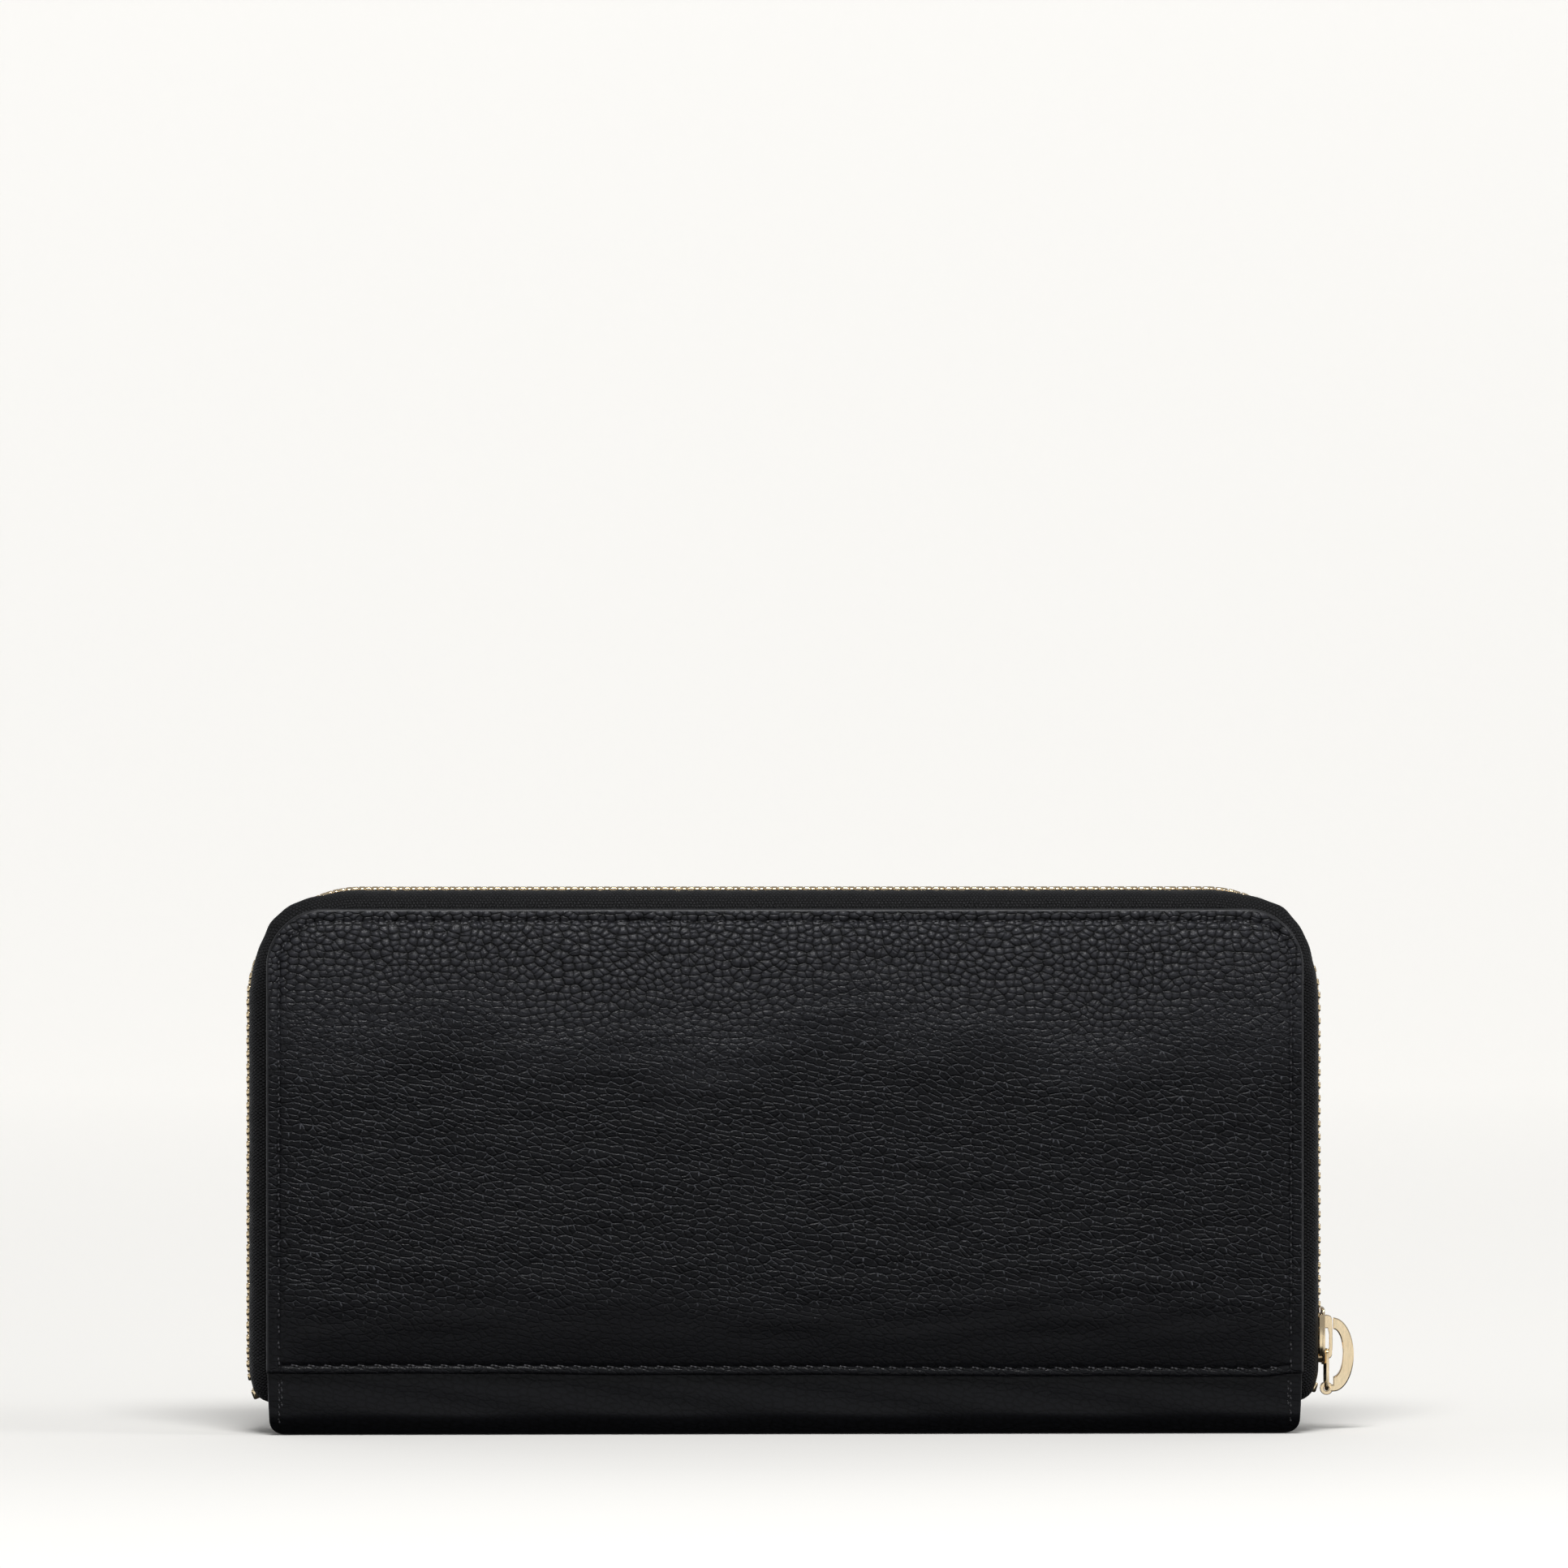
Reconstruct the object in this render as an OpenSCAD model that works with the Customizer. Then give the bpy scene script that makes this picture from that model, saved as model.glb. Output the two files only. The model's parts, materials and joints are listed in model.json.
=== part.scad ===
// Long zip-around wallet standing on its spine: two stiffened leather covers, a zip
// round three sides, accordion gussets, card slots and a zipped coin pocket.
// X runs along the spine, Z up, and the front cover lies on the -Y side.
// The origin is the middle of the flat face that the wallet stands on.

/* [Covers] */
// Width of the leather covers
cover_w = 188; // [176:1:210]
// Height of the covers' top edge above the base
cover_top = 95.4; // [90:0.2:110]
// Radius of the covers' top corners
cover_corner_r = 10.5; // [6:0.5:16]
// Inner face of the cover leather, from the middle plane
leather_y = 11; // [11:0.1:12]
// Thickness of the cover leather
leather_t = 1.2; // [0.8:0.1:1.6]
// Height of the padded crown above the stitched edge
crown_h = 0.8; // [0.4:0.1:1.5]
// Height where the cover leather laps over the spine leather
seam_z = 11; // [9:0.5:13]

/* [Main zip] */
// How far the zip chain stands out past the covers' side edges
bulge_x = 3.1; // [2.8:0.1:3.3]
// How far the zip chain stands out past the covers' top edge
bulge_z = 3.05; // [2.8:0.05:4]
// Radius of the chain's path round the top corners
zip_corner_r = 20; // [17:1:21]
// Distance between teeth on one tape
pitch = 2.35; // [2.2:0.05:3]
// Height where the slider's lower end rests
slider_z = 12; // [11.5:0.1:13]

/* [Pull] */
// Height of the crescent pull
crescent_h = 13.5; // [12:0.1:14]
// Reach of the crescent pull past its flat end
crescent_w = 3.75; // [3.4:0.05:5]

/* [Interior] */
// Height of the top card slot's edge
slot_top = 74; // [66:1:76]
// Step down from one card slot's edge to the next
slot_step = 14; // [10:1:16]
// Height of the coin pocket's walls
pocket_top = 78; // [74:0.5:80]

/* [Hidden] */

leather_color = [0.07, 0.07, 0.08];
lining_color = [0.16, 0.15, 0.15];
tape_color = [0.05, 0.05, 0.055];
gold_color = [0.9, 0.76, 0.5];
board_color = [0.45, 0.42, 0.38];
padding_color = [0.7, 0.7, 0.68];
$fn = 48;

// Layers of a cover, from the middle plane outwards
lining_y = 9.3;
lining_t = 0.5;
board_y = 9.9;
board_t = 1;
tape_y = 9.5;
tape_t = 0.6;
crown_inset = 12;
// The padding's outline, in from the cover's edge, and the thin slice it is hulled from
padding_inset = 4;
slice_t = 0.02;
board_inset = 3;
// The lining's foot is narrower than the rest, where it goes down into the spine
lining_foot_inset = 2.4;
lining_foot_z = 5;

// Spine leather and the stiffener on its floor
wrap_w = cover_w - 0.8;
wrap_t = 1.05;
wrap_y = leather_y - 0.05;
wrap_r = 4;
wrap_top = seam_z + 4;
spine_board_t = 1;
spine_board_w = cover_w - 10;

// Interior
slot_t = 0.5;
slot_gap = 0.05;
slot_bottom = 8;
gusset_t = 0.5;
gusset_bottom = 8;
gusset_top = 62;
wall_y = 2.6;
wall_t = 0.6;
wall_bottom = wrap_t + spine_board_t + 0.1;
bag_t = 0.35;
bag_top = pocket_top - 5;

// Path of the zip chain: its middle line in the XZ plane
zip_x = cover_w / 2 + bulge_x;
zip_z = cover_top + bulge_z;
lining_inset = 8.3;
wall_w = 2 * (zip_x - 9.1);
// Line of a gusset's fold as [distance in from the chain, distance from the middle plane]
gusset_line = [[6.9, 8.9], [8.4, 7.1], [20.6, 6.2], [20.6, 5], [9.7, 3.5]];
lining_w = 2 * (zip_x - lining_inset);
slot_w = lining_w - 0.4;
tuck_z = 13;
tuck_r = 16;
tuck_turn = 30;
len_tuck = tuck_r * tuck_turn * PI / 180;
len_side = zip_z - zip_corner_r - tuck_z;
len_corner = zip_corner_r * PI / 2;
len_top = 2 * (zip_x - zip_corner_r);
path_len = 2 * (len_tuck + len_side + len_corner) + len_top;

// Chain and slider sizes
tooth_t = 1.7;
tooth_leg = 1.3;
tooth_head = 0.85;
tooth_reach = 2.8;
chain_start = len_tuck + 3;
chain_end = path_len - 5;
coin_pitch = 2;
coin_chain_x = 78;
coin_chain_z = pocket_top + 2.5;
coin_tooth_t = 1.5;
slider_len = 10.5;
slider_half_w = 4.2;
plate_t = 0.55;
plate_gap = 0.12;
plate_x = zip_x + tooth_t / 2 + plate_gap;
under_plate_x = zip_x - tooth_t / 2 - plate_gap - plate_t;
lip_w = 1;
lip_h = 0.55;
wedge_z = slider_z + 0.3;
wedge_h = 2.9;
wedge_half_w = 1.5;
bail_t = 1.8;
link_wire_r = 0.4;
link_half_w = 1.55;
link_x = plate_x + plate_t + 0.5;
link_top_z = slider_z + 2.5;
link_bottom_z = link_top_z - 6.9;
eye_r = 1.2;
eye_bore_r = 0.5;
crescent_x = link_x + 1.25;
crescent_foot_z = link_bottom_z - 0.6;
crescent_t = 1.8;
stop_size = [1.8, 1.5, 1.7];
bail_w = 1.6;
bail_h = 8;
bail_window = [1, 4.6];
coin_slider_x = -76.5;
coin_slider_len = 9;
coin_plate_z = coin_chain_z + coin_tooth_t / 2 + 0.2;
coin_under_z = coin_chain_z - coin_tooth_t / 2 - 0.8;
coin_pivot_x = coin_slider_x + 2.5;
coin_pivot_z = coin_plate_z + 1.55;
coin_plate_t = 0.7;
coin_plate_w = 6.4;
coin_lip_h = 0.5;
coin_under_t = 0.6;
coin_under_w = 3.4;
coin_bail_size = [6.5, 2.3];
coin_bail_wire = 0.8;
coin_pin_r = 0.45;
coin_tab_len = 13;
coin_tab_w = 4.2;
coin_arm_len = 6;
coin_arm_w = 0.6;

// Place on the right half of the path: [x, z, angle of the outward normal above +X]
function half_place(s) =
    s < len_tuck
        ? let (a = (len_tuck - s) / tuck_r * 180 / PI)
          [zip_x - tuck_r * (1 - cos(a)), tuck_z - tuck_r * sin(a), -a]
    : s < len_tuck + len_side
        ? [zip_x, tuck_z + s - len_tuck, 0]
    : s < len_tuck + len_side + len_corner
        ? let (a = (s - len_tuck - len_side) / zip_corner_r * 180 / PI)
          [zip_x - zip_corner_r * (1 - cos(a)), zip_z - zip_corner_r * (1 - sin(a)), a]
    : [zip_x - zip_corner_r - (s - len_tuck - len_side - len_corner), zip_z, 90];

// Place anywhere on the path, from the lower right end to the lower left end
function place(s) =
    s <= path_len / 2 ? half_place(s)
    : let (h = half_place(path_len - s)) [-h[0], h[1], 180 - h[2]];

// The two tapes part at the slider's wedge, where each keeps clear of it
edge_shift = 3.6;
function tape_edge(s) = place(s)[1] < tuck_z + edge_shift - 0.1 && s < path_len / 2 ? 1.9 : 1.1;

// Stations along the path: close together round the bends, far apart on the straights
function stations(from, length, steps) = [for (i = [0:steps - 1]) from + length * i / steps];
tape_stations = concat(
    stations(0, len_tuck, 6),
    stations(len_tuck, edge_shift, 2),
    stations(len_tuck + edge_shift, len_side - edge_shift, 3),
    stations(len_tuck + len_side, len_corner, 10),
    stations(len_tuck + len_side + len_corner, len_top, 4),
    stations(path_len - len_tuck - len_side - len_corner, len_corner, 10),
    stations(path_len - len_tuck - len_side, len_side, 3),
    stations(path_len - len_tuck, len_tuck, 6),
    [path_len]);

// Middle line of the tape's section as [distance from the middle plane, height above the path]
tape_section = [[tape_y, -8], [tape_y, -4.4], [9.2, -2.6], [8.1, -1.15], [6.3, -0.3],
    [4.2, 0], [1.1, 0]];

function unit(v) = v / norm(v);
function clamped(list, i) = list[min(max(i, 0), len(list) - 1)];

// Closed outline of a band of thickness t along a line of points
function band(line, t) =
    let (side = [for (i = [0:len(line) - 1])
        let (d = unit(clamped(line, i + 1) - clamped(line, i - 1))) [-d[1], d[0]] * t / 2])
    concat(
        [for (i = [0:len(line) - 1]) line[i] + side[i]],
        [for (i = [len(line) - 1:-1:0]) line[i] - side[i]]);

// One ring of the tape's section, on the front side
function tape_ring(s, outline) =
    let (p = place(s), edge = tape_edge(s))
    [for (q = outline) [p[0] + q[1] * cos(p[2]), -max(q[0], edge), p[1] + q[1] * sin(p[2])]];

// Solid through a list of rings with the same number of points
module skin(rings) {
    n = len(rings[0]);
    last = (len(rings) - 1) * n;
    walls = [for (k = [0:len(rings) - 2], i = [0:n - 1])
        [k * n + i, (k + 1) * n + i, (k + 1) * n + (i + 1) % n, k * n + (i + 1) % n]];
    ends = [[for (i = [0:n - 1]) i], [for (i = [n - 1:-1:0]) last + i]];
    polyhedron(points = [for (r = rings) each r], faces = concat(walls, ends), convexity = 8);
}

// Shape drawn in the XZ plane, t thick, its inner face y from the middle plane on the front side
module front_plate(y, t) {
    translate([0, -y, 0]) rotate([90, 0, 0]) linear_extrude(t) children();
}

// Section drawn in the YZ plane, w long and centred along X
module along_x(w) {
    rotate([90, 0, 90]) linear_extrude(w, center = true) children();
}

// Section drawn in the XZ plane, t thick and centred on the middle plane
module across_y(t) {
    translate([0, t / 2, 0]) rotate([90, 0, 0]) linear_extrude(t) children();
}

module on_rear() {
    mirror([0, 1, 0]) children();
}

module on_left() {
    mirror([1, 0, 0]) children();
}

// Upright rectangle with rounded top corners
module arched(w, bottom, top, r) {
    translate([-w / 2, bottom]) square([w, top - r - bottom]);
    translate([-w / 2 + r, bottom]) square([w - 2 * r, top - bottom]);
    for (side = [-1, 1]) translate([side * (w / 2 - r), top - r]) circle(r);
}

// Cover outline drawn in from its edge
module cover_shape(inset, bottom) {
    arched(cover_w - 2 * inset, bottom + inset, cover_top - inset, max(cover_corner_r - inset, 2));
}

// Low dome from a plate at y to a smaller plate rise further out
module dome(y, t, rise, inset, low_inset) {
    hull() {
        front_plate(y, t) cover_shape(low_inset, seam_z);
        front_plate(y + rise, t) cover_shape(inset, seam_z);
    }
}

module padding_dome() {
    dome(leather_y, slice_t, crown_h, crown_inset, padding_inset);
}

module cover_leather() {
    color(leather_color)
    difference() {
        hull() {
            front_plate(leather_y, leather_t) cover_shape(0, seam_z);
            front_plate(leather_y, leather_t + crown_h) cover_shape(crown_inset, seam_z);
        }
        padding_dome();
    }
}

module cover_padding() {
    color(padding_color) padding_dome();
}

module cover_board() {
    color(board_color)
    front_plate(board_y, board_t)
    arched(cover_w - 2 * board_inset, wrap_top + 0.3, cover_top - board_inset,
        cover_corner_r - board_inset);
}

module cover_lining() {
    color(lining_color)
    front_plate(lining_y, lining_t)
    union() {
        arched(lining_w, tuck_z + 0.5, zip_z - lining_inset, zip_corner_r - lining_inset);
        translate([-lining_w / 2 + lining_foot_inset, lining_foot_z])
            square([lining_w - 2 * lining_foot_inset, tuck_z]);
    }
}

// Card slot number k, counted from the top; each lies further in than the one above
module card_slot(k) {
    inner_y = lining_y - 0.1 - k * (slot_t + slot_gap);
    color(leather_color)
    front_plate(inner_y, slot_t)
    translate([-slot_w / 2, slot_bottom])
        square([slot_w, slot_top - (k - 1) * slot_step - slot_bottom]);
}

module zip_tape() {
    color(tape_color) skin([for (s = tape_stations) tape_ring(s, band(tape_section, tape_t))]);
}

// Puts a child drawn round the origin on the zip's path: +Z outwards, X along the path
module at_path(s) {
    p = place(s);
    translate([p[0], 0, p[1]]) rotate([0, 90 - p[2], 0]) children();
}

// One zip tooth: legs that grip the tape on the front side and a head across the middle
module tooth(leg, head, reach, nose, t) {
    linear_extrude(t, center = true)
    polygon([[-leg / 2, -reach], [leg / 2, -reach], [leg / 2, -nose], [head / 2, -nose],
        [head / 2, nose], [-head / 2, nose], [-head / 2, -nose], [-leg / 2, -nose]]);
}

// Every tooth of one tape; the rear row stands half a pitch on
module zip_teeth(shift) {
    color(gold_color)
    for (s = [chain_start + shift:pitch:chain_end])
        at_path(s) tooth(tooth_leg, tooth_head, tooth_reach, 0.65, tooth_t);
}

// Metal stops beyond both ends of one row
module zip_stops() {
    color(gold_color)
    for (s = [3.4, chain_end + 2.6])
        at_path(s) translate([0, -2.95, 0]) cube(stop_size, center = true);
}

module spine_wrap_section(y, bottom, r) {
    translate([-y, bottom + r]) square([2 * y, wrap_top - bottom - r]);
    translate([-y + r, bottom]) square([2 * (y - r), wrap_top - bottom]);
    for (side = [-1, 1]) translate([side * (y - r), bottom + r]) circle(r);
}

module spine_wrap() {
    color(leather_color)
    along_x(wrap_w) difference() {
        spine_wrap_section(wrap_y, 0, wrap_r);
        intersection() {
            spine_wrap_section(wrap_y - wrap_t, wrap_t, wrap_r - wrap_t);
            translate([-wrap_y, 0]) square([2 * wrap_y, wrap_top]);
        }
    }
}

module spine_board() {
    color(board_color)
    translate([-spine_board_w / 2, -6.5, wrap_t]) cube([spine_board_w, 13, spine_board_t]);
}

// One V-folded gusset sheet at the right-hand end, between the front cover and the pocket
module gusset() {
    line = [for (p = gusset_line) [zip_x - p[0], -p[1]]];
    color(lining_color)
    translate([0, 0, gusset_bottom]) linear_extrude(gusset_top - gusset_bottom)
        polygon(band(line, gusset_t));
}

module coin_wall() {
    color(leather_color)
    front_plate(wall_y, wall_t)
    arched(wall_w, wall_bottom, pocket_top, 3);
}

// Lining bag of the coin pocket: a U in section, closed at its ends
module coin_bag() {
    color(lining_color)
    difference() {
        translate([-wall_w / 2 + 1, -wall_y, wall_bottom])
            cube([wall_w - 2, 2 * wall_y, bag_top - wall_bottom]);
        translate([-wall_w / 2 + 1 + bag_t, -wall_y + bag_t, wall_bottom + bag_t])
            cube([wall_w - 2 - 2 * bag_t, 2 * (wall_y - bag_t), bag_top]);
    }
}

module coin_tape() {
    z = coin_chain_z;
    line = [[-2.35, bag_top + 1], [-2.35, z - 1.2], [-2.1, z - 0.35], [-1.4, z], [-0.7, z]];
    color(tape_color) along_x(2 * coin_chain_x + 8) polygon(band(line, 0.4));
}

module coin_teeth(shift) {
    color(gold_color)
    for (x = [coin_slider_x + 3.1 + shift:coin_pitch:coin_chain_x])
        translate([x, 0, coin_chain_z]) tooth(1.1, 0.72, 2, 0.5, coin_tooth_t);
}

module coin_stops() {
    color(gold_color)
    for (side = [-1, 1], row = [-1, 1])
        translate([side * (coin_chain_x + 2.4), row * 1.4, coin_chain_z])
            cube([1.6, 1.3, coin_tooth_t], center = true);
}

// Slider plate outline in the YZ plane, from its wide lower end to its narrow upper end
module plate_outline() {
    w = slider_half_w;
    translate([0, slider_z]) polygon([[-w + 1.4, 0], [w - 1.4, 0], [w - 0.3, 1], [w, 2.2], [w, 6.4],
        [w - 0.6, slider_len - 0.8], [w - 1.6, slider_len], [-w + 1.6, slider_len],
        [-w + 0.6, slider_len - 0.8], [-w, 6.4], [-w, 2.2], [-w + 0.3, 1]]);
}

module slider_slab(x, t) {
    translate([x, 0, 0]) rotate([90, 0, 90]) linear_extrude(t) children();
}

// The strip of a plate's outline that its folded lips cover
module lip_outline() {
    difference() {
        plate_outline();
        square([2 * (slider_half_w - lip_w), 4 * slider_z + 4 * slider_len], center = true);
    }
}

module slider_body() {
    color(gold_color) {
        slider_slab(plate_x, plate_t) plate_outline();
        slider_slab(under_plate_x, plate_t) plate_outline();
        slider_slab(plate_x - lip_h, lip_h) lip_outline();
        slider_slab(under_plate_x + plate_t, lip_h) lip_outline();
        slider_slab(under_plate_x + plate_t, plate_x - under_plate_x - plate_t)
            translate([0, wedge_z]) polygon([[-0.5, 0], [0.5, 0], [wedge_half_w, 1.2],
                [0.3, wedge_h], [-0.3, wedge_h], [-wedge_half_w, 1.2]]);
    }
}

// Bridge on the outer plate that holds the pull
module slider_bail() {
    x = plate_x + plate_t;
    color(gold_color)
    across_y(bail_t) difference() {
        translate([x, slider_z + 1])
            polygon([[0, 0], [bail_w - 0.5, 0], [bail_w, 0.6], [bail_w, bail_h - 0.7],
                [bail_w - 0.4, bail_h - 0.2], [0, bail_h]]);
        translate([x - 0.01, slider_z + 2]) square(bail_window + [0.01, 0]);
    }
}

// Wire loop with round wires along Y at its two ends
module pull_link() {
    r = link_wire_r;
    color(gold_color)
    translate([link_x, 0, 0]) {
        for (z = [link_bottom_z, link_top_z])
            translate([0, 0, z]) rotate([90, 0, 0]) cylinder(h = 2 * link_half_w, r = r, center = true);
        for (side = [-1, 1]) {
            translate([0, side * link_half_w, link_bottom_z])
                cylinder(h = link_top_z - link_bottom_z, r = r);
            for (z = [link_bottom_z, link_top_z])
                translate([0, side * link_half_w, z]) sphere(r);
        }
    }
}

function arc(cx, cz, rx, rz, from, to, steps) =
    [for (i = [0:steps]) let (a = from + (to - from) * i / steps) [cx + rx * cos(a), cz + rz * sin(a)]];

// Half-moon pull, open towards the slider, with an eye for the link at its lower end
module pull_crescent() {
    half = crescent_h / 2;
    mid = crescent_foot_z + half;
    color(gold_color)
    difference() {
        union() {
            across_y(crescent_t) polygon(concat(
                [[link_x, crescent_foot_z + 1.2], [link_x, crescent_foot_z]],
                arc(crescent_x, mid, crescent_w, half, -90, 90, 24),
                arc(crescent_x, mid + 0.3, crescent_w - 2, half - 2.4, 90, -90, 24),
                [[crescent_x, crescent_foot_z + 1.2]]));
            translate([link_x, 0, link_bottom_z]) rotate([90, 0, 0])
                cylinder(h = crescent_t, r = eye_r, center = true);
        }
        translate([link_x, 0, link_bottom_z]) rotate([90, 0, 0])
            cylinder(h = 2 * crescent_t, r = eye_bore_r, center = true);
    }
}

module coin_slider() {
    lip_y = coin_plate_w / 2 - coin_plate_t / 2;
    color(gold_color)
    translate([coin_slider_x, 0, 0]) {
        translate([0, -coin_plate_w / 2, coin_plate_z])
            cube([coin_slider_len, coin_plate_w, coin_plate_t]);
        for (side = [-1, 1])
            translate([0, side * lip_y - coin_plate_t / 2, coin_plate_z - coin_lip_h])
                cube([coin_slider_len, coin_plate_t, coin_lip_h]);
        translate([0, -coin_under_w / 2, coin_under_z])
            cube([coin_slider_len, coin_under_w, coin_under_t]);
        translate([0.4, -0.6, coin_under_z]) cube([2, 1.2, coin_plate_z - coin_under_z + 0.1]);
    }
}

module coin_bail() {
    hole = [coin_bail_size[0] - 2 * coin_bail_wire, coin_bail_size[1] - coin_bail_wire];
    foot_z = coin_plate_z + coin_plate_t;
    color(gold_color)
    across_y(1.4) difference() {
        translate([coin_slider_x + 1, foot_z]) square(coin_bail_size);
        translate([coin_slider_x + 1 + coin_bail_wire, foot_z - 0.01]) square(hole);
    }
}

// Flat tab that lies along the coin zip, with a pin at one end through the bail
module coin_tab() {
    t = 2 * coin_pin_r;
    color(gold_color)
    translate([coin_pivot_x, 0, coin_pivot_z]) {
        rotate([90, 0, 0]) cylinder(h = 3.2, r = coin_pin_r, center = true);
        for (side = [-1, 1])
            translate([0, side * 1.3 - coin_arm_w / 2, -coin_pin_r])
                cube([coin_arm_len + 0.6, coin_arm_w, t]);
        translate([coin_arm_len, -coin_tab_w / 2, -coin_pin_r])
            cube([coin_tab_len - coin_arm_len, coin_tab_w, t]);
    }
}

spine_wrap();
spine_board();
cover_leather();  // front_leather
cover_padding();  // front_padding
cover_board();  // front_board
cover_lining();  // front_lining
card_slot(1);  // front_card_slot_1
card_slot(2);  // front_card_slot_2
card_slot(3);  // front_card_slot_3
zip_tape();  // front_zip_tape
zip_teeth(0);  // front_zip_teeth
zip_stops();  // front_zip_stops
on_rear() cover_leather();  // rear_leather
on_rear() cover_padding();  // rear_padding
on_rear() cover_board();  // rear_board
on_rear() cover_lining();  // rear_lining
on_rear() card_slot(1);  // rear_card_slot_1
on_rear() card_slot(2);  // rear_card_slot_2
on_rear() card_slot(3);  // rear_card_slot_3
on_rear() zip_tape();  // rear_zip_tape
on_rear() zip_teeth(pitch / 2);  // rear_zip_teeth
on_rear() zip_stops();  // rear_zip_stops
on_left() gusset();  // front_left_gusset
gusset();  // front_right_gusset
on_left() on_rear() gusset();  // rear_left_gusset
on_rear() gusset();  // rear_right_gusset
coin_wall();  // coin_pocket_front_wall
on_rear() coin_wall();  // coin_pocket_rear_wall
coin_bag();  // coin_pocket_bag
coin_tape();  // coin_zip_front_tape
on_rear() coin_tape();  // coin_zip_rear_tape
coin_teeth(0);  // coin_zip_front_teeth
on_rear() coin_teeth(coin_pitch / 2);  // coin_zip_rear_teeth
coin_stops();  // coin_zip_stops
slider_body();  // zip_slider_body
slider_bail();  // zip_slider_bail
pull_link();
pull_crescent();
coin_slider();  // coin_slider_body
coin_bail();  // coin_slider_bail
coin_tab();  // coin_pull_tab
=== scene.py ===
import json
import math

import bmesh
import bpy
import numpy as np
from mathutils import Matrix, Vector

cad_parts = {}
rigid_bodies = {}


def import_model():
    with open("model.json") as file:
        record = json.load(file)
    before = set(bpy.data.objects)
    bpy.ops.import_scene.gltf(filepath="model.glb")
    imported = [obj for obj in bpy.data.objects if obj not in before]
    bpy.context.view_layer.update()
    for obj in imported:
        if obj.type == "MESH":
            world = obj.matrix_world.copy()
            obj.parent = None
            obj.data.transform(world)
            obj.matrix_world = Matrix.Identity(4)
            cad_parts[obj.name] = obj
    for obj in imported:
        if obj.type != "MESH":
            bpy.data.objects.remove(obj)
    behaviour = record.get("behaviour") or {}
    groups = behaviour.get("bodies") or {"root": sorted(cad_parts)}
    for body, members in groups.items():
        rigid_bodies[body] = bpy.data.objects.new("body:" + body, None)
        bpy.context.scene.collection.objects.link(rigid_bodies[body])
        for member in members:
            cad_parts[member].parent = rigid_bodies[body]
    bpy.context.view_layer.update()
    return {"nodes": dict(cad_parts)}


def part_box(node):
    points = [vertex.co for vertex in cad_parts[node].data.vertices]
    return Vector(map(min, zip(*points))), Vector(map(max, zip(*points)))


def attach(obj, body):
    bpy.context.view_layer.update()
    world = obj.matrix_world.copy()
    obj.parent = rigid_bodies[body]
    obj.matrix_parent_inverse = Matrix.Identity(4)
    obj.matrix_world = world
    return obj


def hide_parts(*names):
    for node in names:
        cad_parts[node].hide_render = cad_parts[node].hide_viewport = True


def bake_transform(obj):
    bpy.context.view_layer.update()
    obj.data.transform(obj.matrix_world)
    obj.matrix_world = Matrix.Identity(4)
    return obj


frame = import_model()

# Shapes are worked out in millimetres in the row frame and scaled as each mesh is made.
MM = 0.001
FRONT, REAR = -1, 1
COVERS = ((FRONT, "front"), (REAR, "rear"))
OBJECTS = bpy.context.scene.collection.objects


def box_mm(node):
    """Lowest and highest corner of a CAD node, in millimetres."""
    low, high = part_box(node)
    return np.array(low) / MM, np.array(high) / MM


# ---- Sizes that come from the frame --------------------------------------------------

leather_low, leather_high = box_mm("front_leather")
HALF_W = leather_high[0]
TOP_Z = leather_high[2]
SEAM_Z = leather_low[2]
INNER_Y = -leather_high[1]
LEATHER_T = 1.2
FACE_Y = INNER_Y + LEATHER_T
COVER_R = 10.5

teeth_high = box_mm("front_zip_teeth")[1]
TOOTH_HALF_T = 0.85
ZIP_X = teeth_high[0] - TOOTH_HALF_T
ZIP_Z = teeth_high[2] - TOOTH_HALF_T
CORNER_R = 20.0
TUCK_R = 16.0
TUCK_Z = 13.0
TUCK_TURN = math.radians(30)
TUCK_LEN = TUCK_R * TUCK_TURN
SIDE_LEN = ZIP_Z - CORNER_R - TUCK_Z
CORNER_LEN = CORNER_R * math.pi / 2
TOP_LEN = 2 * (ZIP_X - CORNER_R)
PATH_LEN = 2 * (TUCK_LEN + SIDE_LEN + CORNER_LEN) + TOP_LEN
PITCH = 2.35
CHAIN_START = TUCK_LEN + 3
CHAIN_END = PATH_LEN - 5

wrap_low, wrap_high = box_mm("spine_wrap")
WRAP_HALF_W = wrap_high[0]
WRAP_Y = wrap_high[1]
WRAP_TOP = wrap_high[2]
WRAP_T = 1.05
WRAP_R = 4.0

# The seams: how far in the cover's stitching runs, and its lower row above the seam
STITCH_IN = 2.3
STITCH_ROW = 1.5
STITCH_PITCH = 3.0


# ---- Mesh helpers --------------------------------------------------------------------


def smoothstep(low, high, value):
    t = np.clip((value - low) / (high - low), 0, 1)
    return t * t * (3 - 2 * t)


def grid_faces(rows, cols, start=0, closed=False):
    """Quads over rows x cols points numbered row by row. closed joins the last column to the
    first."""
    last = cols if closed else cols - 1
    return [
        (
            start + r * cols + c,
            start + r * cols + (c + 1) % cols,
            start + (r + 1) * cols + (c + 1) % cols,
            start + (r + 1) * cols + c,
        )
        for r in range(rows - 1)
        for c in range(last)
    ]


def closing_faces(count, rows):
    """Quads that join the last of rows rings of count points back to the first."""
    last = (rows - 1) * count
    return [(last + c, last + (c + 1) % count, (c + 1) % count, c) for c in range(count)]


def running_length(line):
    """Distance along a line of points, at each point."""
    return np.concatenate([[0], np.cumsum(np.linalg.norm(np.diff(line, axis=0), axis=1))])


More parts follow.
